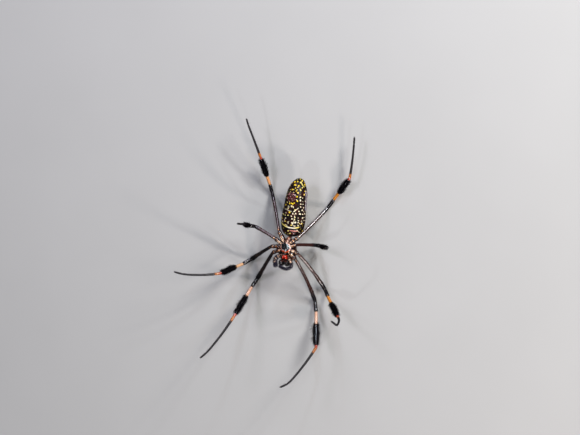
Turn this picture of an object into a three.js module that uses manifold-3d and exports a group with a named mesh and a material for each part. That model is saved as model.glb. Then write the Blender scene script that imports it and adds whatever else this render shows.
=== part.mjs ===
// Golden silk orb weaver, adult female, lying belly up on its six long knees.
// Millimetres, +Z up. The head points to -Y, the abdomen to +Y, the animal's right side to +X.
// The belly faces up, because this spider hangs under its web back down.

import * as THREE from "three";
import { mergeVertices } from "three/addons/utils/BufferGeometryUtils.js";
import Module from "manifold-3d";

const wasm = await Module();
wasm.setup();

// Heights and clearances
const GAP = 0.3;
const GROWN = 0.34;
const GROWN_JAWS = 0.2;
const KNEE_HEIGHT = 0.39;
const KNEE_DROP = 9.0;
const BREASTPLATE_HEIGHT = KNEE_HEIGHT + KNEE_DROP;
const HIP_DROP = 1.0;
const BREASTPLATE_AT = [4.132, 2.501];

// Cephalothorax, in its own frame with the head to -Y
const HEAD_TURN = 4;
const BREASTPLATE = { halfWidth: 1.6, halfLength: 1.5, centreY: -0.25, depth: 2.3,
  edge: [[1, -0.35], [0.88, -0.06], [0.4, 0]] };
const CARAPACE = { halfWidth: 2.75, halfLength: 3.1, depth: 2.1, centreY: -1.4, rim: -2.0 };
const HEAD = { halfWidth: 1.65, halfLength: 1.7, depth: 1.7, centreY: -3.05, centreZ: -2.55 };
const EYES = [
  { turn: 11, dip: -4, radius: 0.19 },
  { turn: 15, dip: -27, radius: 0.17 },
  { turn: 47, dip: 0, radius: 0.15 },
  { turn: 52, dip: -14, radius: 0.15 },
];
const CHELICERA = { apart: 0.86, shift: -0.14, halfWidth: 0.74, halfLength: 0.84, halfHeight: 1.8, y: -4.5, z: -1.1 };
const FANG = { radius: 0.26, length: 1.0, inward: 0.1, back: 0.1, sunk: 0.2 };
const ENDITE = { apart: 0.38, halfWidth: 0.34, halfLength: 0.72, halfHeight: 1.0, y: -3.02, z: -0.7 };
const LABIUM = { halfWidth: 0.42, halfLength: 0.38, halfHeight: 0.9, y: -2.5, z: -0.75 };

// Palps: the middle line of each, from beside the mouth to the tip, in the animal's frame
const PALPS = {
  right: {
    line: [[1.55, -3.3, -0.2], [2.3, -3.9, 0.2], [2.85, -4.8, 0.35], [2.2, -5.75, 0.4], [0.9, -6.15, 0.5],
      [-0.7, -5.65, 0.75]],
    radius: 0.31,
    tip: 0.27,
  },
  left: {
    line: [[-1.2, -2.85, -0.1], [-2.0, -3.38, 0.2], [-2.35, -4.25, 0.25], [-2.1, -5.2, 0.3],
      [-1.95, -6.0, 0.4]],
    radius: 0.44,
    tip: 0.47,
  },
};
// Shares of a palp's length with shares of its radius, then with shares of its tip's radius
const PALP_SHAPE = { stem: [[0, 1], [0.3, 1.1], [0.55, 0.95]], tip: [[0.85, 1], [0.97, 0.7], [1.02, 0]],
  steps: 12 };

// Abdomen: its middle line and its radius along that line
const ABDOMEN_LINE = [[0.32, 2.7, -2.95], [0.22, 6, -3.05], [0.15, 12, -3.05], [0.1, 16.3, -3.6],
  [0.1, 19.0, -4.5]];
const ABDOMEN_RADII = [[0, 0], [0.2, 1.25], [0.9, 2.45], [2.4, 3.12], [4.6, 3.4], [8, 3.2], [11.6, 2.95],
  [13.5, 2.6], [15.2, 1.85], [16.3, 1.0], [16.75, 0]];
const ABDOMEN_SIDES = 24;
const ABDOMEN_STEPS = 17;
const ABDOMEN_SAMPLES = 200;
const EPIGYNUM = { along: 1.95, turn: 20, halfWidth: 1.15, halfLength: 0.42, halfHeight: 0.5, sunk: 0.3 };
const PEDICEL = { radius: 0.6, x: 0.3, y: [0.9, 4.4], z: -2.5, clear: 0.54 };
const SPINNERETS = { along: 11.7, turn: -5, cone: 0.36, tip: 0.16, tall: 1.15, sunk: 0.9, overlap: 0.1,
  splay: 6, base: 1.12, baseRise: 0.375 };
const SPINNERET_PAIRS = [
  { ahead: 0.72, aside: 0.5, lean: -24 },
  { ahead: 0.0, aside: 0.34, lean: 0 },
  { ahead: -0.62, aside: 0.52, lean: 22 },
];

// Legs: segment lengths and thickness by pair, counted from the head
const PAIRS = {
  1: { patella: 3.15, tibia: 11.0, metatarsus: 13.4, tarsus: 2.3, bulk: 1.0 },
  2: { patella: 2.95, tibia: 8.5, metatarsus: 10.95, tarsus: 2.4, bulk: 0.98 },
  3: { patella: 1.8, tibia: 3.6, metatarsus: 4.3, tarsus: 1.5, bulk: 0.98 },
  4: { patella: 2.95, tibia: 8.45, metatarsus: 9.8, tarsus: 1.95, bulk: 0.95 },
};

// Brushes of bristles: flat locks in staggered rings that point down the leg;
// share: stretch of the segment from the first roots to the last tips
const BRUSHES = {
  tibia: { share: [0.33, 0.93], ringStep: 1.25, around: 5, length: 1.6, halfWidth: 0.46, flat: 0.55,
    root: 0.3, belly: 0.8, tip: 1.08, waver: 0.08 },
  femur: { share: [0.74, 0.965], ringStep: 1.3, around: 4, length: 1.45, halfWidth: 0.4, flat: 0.62,
    root: 0.25, belly: 0.64, tip: 0.82, waver: 0.06 },
};
const LOCK = { sides: 4, shape: [[0, 0.8], [0.5, 1], [1, 0]], bellyShare: 0.45, endRings: 0.86 };
const LOCK_SEED = 11;
const DRAW = { multiplier: 1664525, increment: 1013904223, range: 2 ** 32 };

// Radius at shares of each segment's length, for bulk 1
const RADII = {
  femur: [[0, 0.38], [0.07, 0.44], [0.3, 0.44], [0.65, 0.46], [0.88, 0.54], [1, 0.5]],
  patella: [[0, 0.48], [0.2, 0.52], [0.75, 0.55], [1, 0.46]],
  tibia: [[0, 0.42], [0.12, 0.44], [0.38, 0.45], [0.8, 0.48], [1, 0.4]],
  tuftedTibia: [[0, 0.42], [0.12, 0.44], [0.32, 0.45], [0.42, 0.6], [0.78, 0.6], [0.92, 0.42], [1, 0.4]],
  metatarsus: [[0, 0.37], [0.12, 0.35], [0.55, 0.29], [1, 0.27]],
  tarsus: [[0, 0.27], [0.6, 0.26], [0.93, 0.2]],
};
const SIDES = { femur: 10, patella: 10, tibia: 10, metatarsus: 8, tarsus: 8 };
const COXA = { sunk: 0.9, root: 0.74, rootShare: 0.9, rootRise: 0.05, sides: 10,
  shape: [[0.3, 0.82], [0.62, 0.74], [0.7, 0.56], [0.78, 0.6]], end: [[0.1, 0.56], [0.45, 0.34], [0.55, 0]] };
// Sides and rings of the rounded forms
const ROUND = { shell: [22, 10], head: [18, 9], plate: 20, eye: [8, 5], lobe: [10, 7], chelicera: [12, 8],
  fang: 6, epigynum: [14, 8], spinneret: 7, spinneretBase: 12, pedicel: 12, palp: 8 };

// Pose: the hip beside the breastplate, the bearing of the coxa's root round the breastplate,
// and the yaw and pitch of each segment in degrees; pairs 1, 2 and 4 take the femur's pitch from the floor;
// brushes: the segments whose bristles stand off the leg
const LEGS = [
  {
    name: "leg_1_left", pair: 1, hip: [-3.85, -2.49], bearing: 216,
    femur: { yaw: [-126, -124], length: 13.9 },
    patella: [-105, 37], tibia: [-98, 44], metatarsus: [[-104, 34], [-117, 29]], tarsus: [-129, 22],
    brushes: ["femur", "tibia"],
  },
  {
    name: "leg_1_right", pair: 1, hip: [3.18, -3.16], bearing: -52, femur: { yaw: [-61, -75], length: 15.22 },
    patella: [-68, 22], tibia: [-70, 29], metatarsus: [[-105, 34], [-120, 28]], tarsus: [-149, 24],
    brushes: ["tibia"],
  },
  {
    name: "leg_2_left", pair: 2, hip: [-4.44, -0.76], bearing: 184,
    femur: { yaw: [-147, -145], length: 13.0 },
    patella: [-138, 34], tibia: [-143, 54], metatarsus: [[-164, 42], [-179, 33]], tarsus: [170, 23],
    brushes: ["femur", "tibia"],
  },
  {
    name: "leg_2_right", pair: 2, hip: [3.62, -1.46], bearing: -18, femur: { yaw: [-48, -62], length: 14.5 },
    patella: [-41, 40], tibia: [-39, 35], metatarsus: [[-1, 64], [-30, 79]], tarsus: [136, 45],
    brushes: ["tibia"],
  },
  {
    name: "leg_3_left", pair: 3, hip: [-3.62, 1.53], bearing: 150,
    femur: { yaw: [159, 165], pitch: -8, length: 7.5 },
    patella: [174, 60], tibia: [125, 80], metatarsus: [[50, 82], [60, 84]], tarsus: [120, 84],
    brushes: [],
  },
  {
    name: "leg_3_right", pair: 3, hip: [2.81, 0.91], bearing: 20,
    femur: { yaw: [4, -2], pitch: -62, length: 7.5 },
    patella: [4, 32], tibia: [2, 38], metatarsus: [[13, 72], [20, 74]], tarsus: [36, 78],
    brushes: [],
  },
  {
    name: "leg_4_left", pair: 4, hip: [-2.84, 3.81], bearing: 118, femur: { yaw: [123, 127], length: 14.0 },
    patella: [105, 25], tibia: [110, 22], metatarsus: [[113, 18], [117, 12]], tarsus: [115, 3],
    brushes: ["tibia"],
  },
  {
    name: "leg_4_right", pair: 4, hip: [3.0, 2.85], bearing: 58, femur: { yaw: [59, 65], length: 13.1 },
    patella: [59, 9], tibia: [57, 15], metatarsus: [[85, 8], [93, 4]], tarsus: [95, -3],
    brushes: ["tibia"],
  },
];

// Ends of the segments: how far one runs past its joint before it is cut there
const OVERRUN = 0.6;
const OVERRUN_DOME = [[0.3, 0.86], [0.6, 0.4]];

const COLOURS = {
  carapace: 0xb9b4a6,
  coxa: 0x3a2018,
  chelicera: 0x0d0b0c,
  mouth: 0xb3240f,
  palp: 0x1b1626,
  pedicel: 0x4a3020,
  abdomen: 0x6a5a16,
  spinnerets: 0x8a3526,
  femur: 0x2c1714,
  patella: 0x100d0f,
  tibia: 0xc98a4e,
  metatarsus: 0x141010,
  tarsus: 0x0f0d0e,
};

const MERGE_DISTANCE = 1e-5;
const BEND_STEP = 2;
const UP = new THREE.Vector3(0, 0, 1);
const ALONG = new THREE.Vector3(0, 1, 0);
const radians = THREE.MathUtils.degToRad;

function heading(yaw, pitch) {
  const flat = Math.cos(radians(pitch));
  const turn = radians(yaw);
  return new THREE.Vector3(flat * Math.cos(turn), flat * Math.sin(turn), Math.sin(radians(pitch)));
}

function paint(colour) {
  return new THREE.MeshStandardMaterial({ color: colour, roughness: 0.35, metalness: 0 });
}

// A closed geometry as a solid: shared corners merged, collapsed triangles dropped
function solid(geometry) {
  geometry.deleteAttribute("normal");
  geometry.deleteAttribute("uv");
  const merged = mergeVertices(geometry, MERGE_DISTANCE);
  const corners = merged.index.array;
  const kept = [];
  for (let i = 0; i < corners.length; i += 3) {
    const [a, b, c] = corners.slice(i, i + 3);
    if (a !== b && b !== c && c !== a) {
      kept.push(a, b, c);
    }
  }
  const vertProperties = new Float32Array(merged.attributes.position.array);
  return new wasm.Manifold(new wasm.Mesh({ numProp: 3, vertProperties, triVerts: new Uint32Array(kept) }));
}

// The largest closed surface of a solid, as a geometry
function toGeometry(whole) {
  const bodies = whole.decompose();
  bodies.sort((a, b) => b.volume() - a.volume());
  const mesh = bodies[0].getMesh();
  const geometry = new THREE.BufferGeometry();
  geometry.setAttribute("position", new THREE.BufferAttribute(mesh.vertProperties, 3));
  geometry.setIndex(new THREE.BufferAttribute(mesh.triVerts, 1));
  geometry.computeVertexNormals();
  return geometry;
}

// Numbers from 0 to 1 that are the same on each run
function seededDraw(seed) {
  let state = seed;
  return () => {
    state = (Math.imul(state, DRAW.multiplier) + DRAW.increment) >>> 0;
    return state / DRAW.range;
  };
}

// A body along a curve, flat across it by a share; the profile gives its radius at distances along the curve
function sweptGeometry(curve, profile, sides, flat) {
  const outline = profile.map(([along, radius]) => new THREE.Vector2(Math.max(radius, 0), along));
  const geometry = new THREE.LatheGeometry(outline, sides);
  const length = curve.getLength();
  const place = geometry.attributes.position;
  const turn = new THREE.Quaternion();
  const point = new THREE.Vector3();
  for (let i = 0; i < place.count; i += 1) {
    const along = place.getY(i);
    const share = THREE.MathUtils.clamp(along / length, 0, 1);
    const tangent = curve.getTangentAt(share);
    turn.setFromUnitVectors(ALONG, tangent);
    point.set(place.getX(i), 0, place.getZ(i) * flat).applyQuaternion(turn);
    point.add(curve.getPointAt(share)).addScaledVector(tangent, along - share * length);
    place.setXYZ(i, point.x, point.y, point.z);
  }
  return geometry;
}

function sweep(curve, profile, sides) {
  return solid(sweptGeometry(curve, profile, sides, 1));
}

// A rounded-off profile through a few radii
function smoothProfile(radii, steps) {
  const curve = new THREE.SplineCurve(radii.map(([along, radius]) => new THREE.Vector2(along, radius)));
  const points = curve.getSpacedPoints(steps).map((point) => [point.x, point.y]);
  points[0][1] = 0;
  points[steps][1] = 0;
  return points;
}

function ellipsoid(halfX, halfY, halfZ, centre, [sides, rings]) {
  const geometry = new THREE.SphereGeometry(1, sides, rings);
  geometry.rotateX(Math.PI / 2);
  geometry.scale(halfX, halfY, halfZ);
  geometry.translate(...centre);
  return solid(geometry);
}

function curveThrough(points) {
  return new THREE.CatmullRomCurve3(points.map((point) => new THREE.Vector3(...point)));
}

// Cephalothorax, optionally grown on all sides to clear its neighbours
function cephalothoraxSolid(grow) {
  const rim = CARAPACE.rim;
  const shell = ellipsoid(CARAPACE.halfWidth + grow, CARAPACE.halfLength + grow, CARAPACE.depth + grow,
    [0, CARAPACE.centreY, rim], ROUND.shell).trimByPlane([0, 0, -1], -rim - grow);
  const head = ellipsoid(HEAD.halfWidth + grow, HEAD.halfLength + grow, HEAD.depth + grow,
    [0, HEAD.centreY, HEAD.centreZ], ROUND.head).trimByPlane([0, 0, -1], -rim - grow);
  const wider = grow / BREASTPLATE.halfWidth;
  const plate = new THREE.LatheGeometry([
    new THREE.Vector2(0, -BREASTPLATE.depth),
    new THREE.Vector2(1 + wider, -BREASTPLATE.depth),
    ...BREASTPLATE.edge.map(([share, height]) => new THREE.Vector2(share + wider, height + grow)),
    new THREE.Vector2(0, grow),
  ], ROUND.plate);
  plate.rotateX(Math.PI / 2);
  plate.scale(BREASTPLATE.halfWidth, BREASTPLATE.halfLength, 1);
  plate.translate(0, BREASTPLATE.centreY, 0);
  return shell.add(head).add(solid(plate));
}

function eyeBumps() {
  const bumps = [];
  for (const side of [-1, 1]) {
    for (const eye of EYES) {
      const look = heading(-90 + side * eye.turn, eye.dip);
      const centre = [look.x * HEAD.halfWidth, HEAD.centreY + look.y * HEAD.halfLength,
        HEAD.centreZ + look.z * HEAD.depth];
      bumps.push(ellipsoid(eye.radius, eye.radius, eye.radius, centre, ROUND.eye));
    }
  }
  return bumps;
}

function abdomenSolid(grow) {
  const radii = ABDOMEN_RADII.map(([along, radius], i) => {
    const last = i === ABDOMEN_RADII.length - 1;
    const end = i === 0 ? -grow : last ? grow : 0;
    return [along + end, i === 0 || last ? 0 : radius + grow];
  });
  return sweep(curveThrough(ABDOMEN_LINE), smoothProfile(radii, ABDOMEN_STEPS), ABDOMEN_SIDES);
}

// A place on the abdomen's skin: its point and the way out, at a turn from straight up towards +X
function abdomenPlace(along, turn, depth) {
  const curve = curveThrough(ABDOMEN_LINE);
  const share = along / curve.getLength();
  const radii = new THREE.SplineCurve(ABDOMEN_RADII.map(([at, radius]) => new THREE.Vector2(at, radius)));
  const near = radii.getSpacedPoints(ABDOMEN_SAMPLES)
    .reduce((a, b) => (Math.abs(a.x - along) < Math.abs(b.x - along) ? a : b));
  const out = new THREE.Vector3(Math.sin(radians(turn)), 0, Math.cos(radians(turn)));
  return { point: curve.getPointAt(share).addScaledVector(out, near.y - depth), out };
}

function epigynum() {
  const { point, out } = abdomenPlace(EPIGYNUM.along, EPIGYNUM.turn, EPIGYNUM.sunk);
  const geometry = new THREE.SphereGeometry(1, ...ROUND.epigynum);
  geometry.scale(EPIGYNUM.halfWidth, EPIGYNUM.halfLength, EPIGYNUM.halfHeight);
  geometry.applyQuaternion(new THREE.Quaternion().setFromUnitVectors(UP, out));
  geometry.translate(point.x, point.y, point.z);
  return solid(geometry);
}

// Three pairs of short cones that meet in one rosette
function spinneretsSolid() {
  const { point, out } = abdomenPlace(SPINNERETS.along, SPINNERETS.turn, SPINNERETS.sunk);
  const upright = new THREE.Quaternion().setFromUnitVectors(UP, out);
  const cones = [];
  for (const pair of SPINNERET_PAIRS) {
    for (const side of [-1, 1]) {
      const cone = new THREE.CylinderGeometry(SPINNERETS.tip, SPINNERETS.cone, SPINNERETS.tall,
        ROUND.spinneret);
      cone.rotateX(Math.PI / 2);
      cone.translate(0, 0, SPINNERETS.sunk + SPINNERETS.tall / 2 - SPINNERETS.overlap);
      cone.rotateX(radians(pair.lean));
      cone.rotateY(radians(side * SPINNERETS.splay));
      cone.translate(side * pair.aside, -pair.ahead, 0);
      cones.push(cone);
    }
  }
  const baseTall = SPINNERETS.sunk + SPINNERETS.baseRise;
  const base = new THREE.CylinderGeometry(SPINNERETS.base, SPINNERETS.base, baseTall, ROUND.spinneretBase);
  base.rotateX(Math.PI / 2);
  base.translate(0, 0, baseTall / 2);
  cones.push(base);
  const placed = cones.map((cone) => {
    cone.applyQuaternion(upright);
    cone.translate(point.x, point.y, point.z);
    return solid(cone);
  });
  return wasm.Manifold.union(placed).subtract(abdomenSolid(GAP));
}

function mesh(name, geometry, colour) {
  const piece = new THREE.Mesh(geometry, paint(colour));
  piece.name = name;
  return piece;
}

// Labium and the two endites beside it, optionally grown
function mouthSolid(grow) {
  const lobes = [ellipsoid(LABIUM.halfWidth + grow, LABIUM.halfLength + grow, LABIUM.halfHeight + grow,
    [0, LABIUM.y, LABIUM.z], ROUND.lobe)];
  for (const side of [-1, 1]) {
    lobes.push(ellipsoid(ENDITE.halfWidth + grow, ENDITE.halfLength + grow, ENDITE.halfHeight + grow,
      [side * ENDITE.apart, ENDITE.y, ENDITE.z], ROUND.lobe));
  }
  return wasm.Manifold.union(lobes);
}

function cheliceraSolid(side, grow) {
  return ellipsoid(CHELICERA.halfWidth + grow, CHELICERA.halfLength + grow, CHELICERA.halfHeight + grow,
    [side * CHELICERA.apart + CHELICERA.shift, CHELICERA.y, CHELICERA.z], ROUND.chelicera);
}

// Head and breastplate with everything round the mouth
function buildHead(spider) {
  const front = new THREE.Group();
  front.rotation.z = radians(HEAD_TURN);
  const body = wasm.Manifold.union([cephalothoraxSolid(0), ...eyeBumps()]);
  front.add(mesh("cephalothorax", toGeometry(body), COLOURS.carapace));
  const clearance = cephalothoraxSolid(GAP);
  front.add(mesh("mouthparts", toGeometry(mouthSolid(0).subtract(clearance)), COLOURS.mouth));
  const mouthClearance = mouthSolid(GROWN);
  for (const [word, side] of [["left", -1], ["right", 1]]) {
    const base = cheliceraSolid(side, 0);
    const fang = new THREE.ConeGeometry(FANG.radius, FANG.length, ROUND.fang);
    fang.rotateZ(side * Math.PI / 2);
    fang.translate(side * (CHELICERA.apart - FANG.inward) + CHELICERA.shift, CHELICERA.y + FANG.back,
      CHELICERA.z + CHELICERA.halfHeight - FANG.sunk);
    const whole = base.add(solid(fang)).subtract(clearance).subtract(mouthClearance)
      .trimByPlane([side, 0, 0], GAP / 2);
    front.add(mesh(`chelicera_${word}`, toGeometry(whole), COLOURS.chelicera));
  }
  spider.add(front);
}

function buildPalps(spider) {
  const jaws = [-1, 1].map((side) => cheliceraSolid(side, GROWN_JAWS));
  const clearance = wasm.Manifold.union([mouthSolid(GROWN), ...jaws]).rotate([0, 0, HEAD_TURN]);
  for (const [word, palp] of Object.entries(PALPS)) {
    const curve = curveThrough(palp.line);
    const length = curve.getLength();
    const stations = [
      ...PALP_SHAPE.stem.map(([share, size]) => new THREE.Vector2(share * length, size * palp.radius)),
      ...PALP_SHAPE.tip.map(([share, size]) => new THREE.Vector2(share * length, size * palp.tip)),
    ];
    const smooth = new THREE.SplineCurve(stations).getSpacedPoints(PALP_SHAPE.steps);
    const profile = [[0, 0], ...smooth.map((point) => [point.x, point.y])];
    profile[profile.length - 1][1] = 0;
    const body = sweep(curve, profile, ROUND.palp).subtract(clearance);
    spider.add(mesh(`palp_${word}`, toGeometry(body), COLOURS.palp));
  }
}

function buildAbdomen(spider) {
  const body = abdomenSolid(0).add(epigynum());
  spider.add(mesh("abdomen", toGeometry(body), COLOURS.abdomen));
  spider.add(mesh("spinnerets", toGeometry(spinneretsSolid()), COLOURS.spinnerets));
  const [front, back] = PEDICEL.y;
  const stalk = new THREE.CylinderGeometry(PEDICEL.radius, PEDICEL.radius, back - front, ROUND.pedicel);
  stalk.translate(PEDICEL.x, (front + back) / 2, PEDICEL.z);
  const turned = cephalothoraxSolid(GAP).rotate([0, 0, HEAD_TURN]);
  const pedicel = solid(stalk).subtract(turned).subtract(abdomenSolid(PEDICEL.clear));
  spider.add(mesh("pedicel", toGeometry(pedicel), COLOURS.pedicel));
}

// The joints of one leg and the way each segment runs
function skeleton(leg) {
  const sizes = PAIRS[leg.pair];
  const hip = new THREE.Vector3(leg.hip[0], leg.hip[1], -HIP_DROP);
  const bearing = radians(leg.bearing);
  const { halfWidth, halfLength, centreY } = BREASTPLATE;
  const root = new THREE.Vector3(halfWidth * COXA.rootShare * Math.cos(bearing),
    centreY + halfLength * COXA.rootShare * Math.sin(bearing), COXA.rootRise - HIP_DROP);
  const kneeFall = Math.asin((KNEE_DROP - HIP_DROP) / leg.femur.length);
  const fall = leg.femur.pitch ?? -THREE.MathUtils.radToDeg(kneeFall);
  const segments = [
    {
      part: "femur", start: heading(leg.femur.yaw[0], fall), end: heading(leg.femur.yaw[1], fall),
      length: leg.femur.length,
    },
    { part: "patella", start: heading(...leg.patella), end: heading(...leg.patella), length: sizes.patella },
    { part: "tibia", start: heading(...leg.tibia), end: heading(...leg.tibia), length: sizes.tibia },
    {
      part: "metatarsus", start: heading(...leg.metatarsus[0]), end: heading(...leg.metatarsus[1]),
      length: sizes.metatarsus,
    },
    { part: "tarsus", start: heading(...leg.tarsus), end: heading(...leg.tarsus), length: sizes.tarsus },
  ];
  let joint = hip;
  for (const segment of segments) {
    segment.from = joint;
    segment.middle = joint.clone().addScaledVector(segment.start, segment.length / 2);
    segment.to = segment.middle.clone().addScaledVector(segment.end, segment.length / 2);
    joint = segment.to;
  }
  const coxa = { from: root, to: hip, way: hip.clone().sub(root).normalize() };
  return { coxa, segments };
}

// Cuts a solid that lies in a turned and moved frame by a plane of the animal's frame
function cutAt(body, frame, normal, point) {
  const back = frame.turn.clone().invert();
  const local = normal.clone().applyQuaternion(back);
  const offset = point.clone().sub(frame.origin).applyQuaternion(back).dot(local);
  return body.trimByPlane(local.toArray(), offset);
}

// The plane halfway between two headings, as the normal that looks along both
function mitre(before, after) {
  return before.clone().add(after).normalize();
}

function segmentProfile(part, length, bulk, closedTip) {
  const radii = RADII[part].map(([share, radius]) => [share * length, radius * bulk]);
  const first = radii[0][1];
  const last = radii[radii.length - 1][1];
  const start = OVERRUN_DOME.map(([past, share]) => [-past, first * share]).reverse();
  const end = closedTip ? [] : OVERRUN_DOME.map(([past, share]) => [length + past, last * share]);
  const tip = closedTip ? length : length + OVERRUN;
  return [[-OVERRUN, 0], ...start, ...radii, ...end, [tip, 0]];
}

// Moves a geometry that lies along +Y sideways onto a bent middle line
function followBend(geometry, curve) {
  const length = curve.getLength();
  const place = geometry.attributes.position;
  for (let i = 0; i < place.count; i += 1) {
    const middle = curve.getPointAt(THREE.MathUtils.clamp(place.getY(i) / length, 0, 1));
    place.setX(i, place.getX(i) + middle.x);
    place.setZ(i, place.getZ(i) + middle.z);
  }
  return geometry;
}

// One brush: rings of locks rooted in the core, each lifting off it and bending back along the leg
function brushLocks(brush, middleLine, bulk, draw) {
  const length = middleLine.getLength();
  const [from, to] = brush.share.map((share) => share * length);
  const rings = Math.max(2, Math.round((to - from - brush.length) / brush.ringStep) + 1);
  const step = (to - from - brush.length) / (rings - 1);
  const locks = [];
  for (let ring = 0; ring < rings; ring += 1) {
    const ends = ring === 0 || ring === rings - 1 ? LOCK.endRings : 1;
    for (let i = 0; i < brush.around; i += 1) {
      const waver = () => (2 * draw() - 1) * brush.waver;
      const root = from + ring * step + waver() * 2;
      const reach = brush.length * (1 + waver());
      const tip = brush.tip * bulk * ends + waver();
      const curve = new THREE.QuadraticBezierCurve3(
        new THREE.Vector3(0, root, brush.root),
        new THREE.Vector3(0, root + reach * LOCK.bellyShare, brush.belly * bulk),
        new THREE.Vector3(waver() * 2, root + reach, tip),
      );
      const long = curve.getLength();
      const wide = brush.halfWidth * bulk;
      const profile = [[0, 0], ...LOCK.shape.map(([share, size]) => [share * long, size * wide])];
      const lock = sweptGeometry(curve, profile, LOCK.sides, brush.flat);
      lock.rotateY(((i + (ring % 2) / 2) / brush.around) * Math.PI * 2 + waver());
      locks.push(solid(followBend(lock, middleLine)));
    }
  }
  return locks;
}

function buildSegment(leg, segment, before, after, draw) {
  const turn = new THREE.Quaternion().setFromUnitVectors(ALONG, segment.start);
  const frame = { origin: segment.from, turn };
  const back = frame.turn.clone().invert();
  const toLocal = (point) => point.clone().sub(segment.from).applyQuaternion(back);
  const straight = segment.start.angleTo(segment.end) < 0.001;
  const curve = straight
    ? new THREE.LineCurve3(toLocal(segment.from), toLocal(segment.to))
    : new THREE.QuadraticBezierCurve3(toLocal(segment.from), toLocal(segment.middle), toLocal(segment.to));
  const { bulk } = PAIRS[leg.pair];
  const tufted = leg.brushes.includes(segment.part);
  const shape = tufted && segment.part === "tibia" ? "tuftedTibia" : segment.part;
  const profile = segmentProfile(shape, curve.getLength(), bulk, !after);
  let body = sweep(curve, straight ? profile : refine(profile), SIDES[segment.part]);
  if (tufted) {
    body = wasm.Manifold.union([body, ...brushLocks(BRUSHES[segment.part], curve, bulk, draw)]);
  }
  const upstream = mitre(before, segment.start);
  body = cutAt(body, frame, upstream, segment.from.clone().addScaledVector(upstream, GAP / 2));
  if (after) {
    const downstream = mitre(segment.end, after).negate();
    body = cutAt(body, frame, downstream, segment.to.clone().addScaledVector(downstream, GAP / 2));
  }
  const floor = new THREE.Vector3(0, 0, -BREASTPLATE_HEIGHT);
  body = cutAt(body, frame, UP, floor);
  const piece = mesh(`${leg.name}_${segment.part}`, toGeometry(body), COLOURS[segment.part]);
  piece.position.copy(segment.from);
  piece.quaternion.copy(frame.turn);
  return piece;
}

// Extra stations between those of a profile, for a segment that bends
function refine(profile) {
  const stations = [];
  for (let i = 0; i < profile.length - 1; i += 1) {
    const [along, radius] = profile[i];
    const [nextAlong, nextRadius] = profile[i + 1];
    const parts = Math.max(1, Math.round((nextAlong - along) / BEND_STEP));
    for (let part = 0; part < parts; part += 1) {
      const share = part / parts;
      stations.push([along + share * (nextAlong - along), radius + share * (nextRadius - radius)]);
    }
  }
  stations.push(profile[profile.length - 1]);
  return stations;
}

// Coxa and trochanter, cut clear of the breastplate and of the coxae beside it
function buildCoxa(leg, bones, neighbours, clearance) {
  const { coxa, segments } = bones;
  const frame = { origin: coxa.from, turn: new THREE.Quaternion().setFromUnitVectors(ALONG, coxa.way) };
  const length = coxa.from.distanceTo(coxa.to);
  const profile = [[-COXA.sunk, 0], [-COXA.sunk, COXA.root],
    ...COXA.shape.map(([share, radius]) => [share * length, radius]),
    ...COXA.end.map(([past, radius]) => [length + past, radius])];
  const line = new THREE.LineCurve3(new THREE.Vector3(), new THREE.Vector3(0, length, 0));
  let body = sweep(line, profile, COXA.sides);
  const downstream = mitre(coxa.way, segments[0].start).negate();
  body = cutAt(body, frame, downstream, coxa.to.clone().addScaledVector(downstream, GAP / 2));
  for (const other of neighbours) {
    const inner = coxa.from.clone().lerp(other.from, 0.5);
    const outer = coxa.to.clone().lerp(other.to, 0.5);
    const side = outer.sub(inner).cross(UP).normalize();
    if (side.dot(coxa.to.clone().sub(inner)) < 0) {
      side.negate();
    }
    body = cutAt(body, frame, side, inner.addScaledVector(side, GAP / 2));
  }
  const toLocal = new THREE.Matrix4().makeRotationFromQuaternion(frame.turn).setPosition(frame.origin);
  body = body.subtract(clearance.transform(toLocal.invert().toArray()));
  const piece = mesh(`${leg.name}_coxa`, toGeometry(body), COLOURS.coxa);
  piece.position.copy(coxa.from);
  piece.quaternion.copy(frame.turn);
  return piece;
}

function buildLegs(spider) {
  const bones = LEGS.map(skeleton);
  const draw = seededDraw(LOCK_SEED);
  const clearance = cephalothoraxSolid(GROWN).add(mouthSolid(GROWN)).rotate([0, 0, HEAD_TURN])
    .add(abdomenSolid(GAP));
  LEGS.forEach((leg, i) => {
    const { coxa, segments } = bones[i];
    const neighbours = [i - 2, i + 2].filter((j) => j >= 0 && j < LEGS.length).map((j) => bones[j].coxa);
    const limb = new THREE.Group();
    limb.add(buildCoxa(leg, bones[i], neighbours, clearance));
    segments.forEach((segment, k) => {
      const before = k === 0 ? coxa.way : segments[k - 1].end;
      const after = segments[k + 1]?.start;
      limb.add(buildSegment(leg, segment, before, after, draw));
    });
    spider.add(limb);
  });
}

const spider = new THREE.Group();
spider.position.set(BREASTPLATE_AT[0], BREASTPLATE_AT[1], BREASTPLATE_HEIGHT);
buildHead(spider);
buildPalps(spider);
buildAbdomen(spider);
buildLegs(spider);

export default spider;
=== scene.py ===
# %% [markdown]
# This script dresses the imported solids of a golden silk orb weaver, an adult female, as a still
# model.
# The solids give every size and place. Each flesh-and-shell part gets one smooth skin over its solids,
# and over that come the bristles, claws, eyes and glossy plates that a real spider has.

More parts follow.
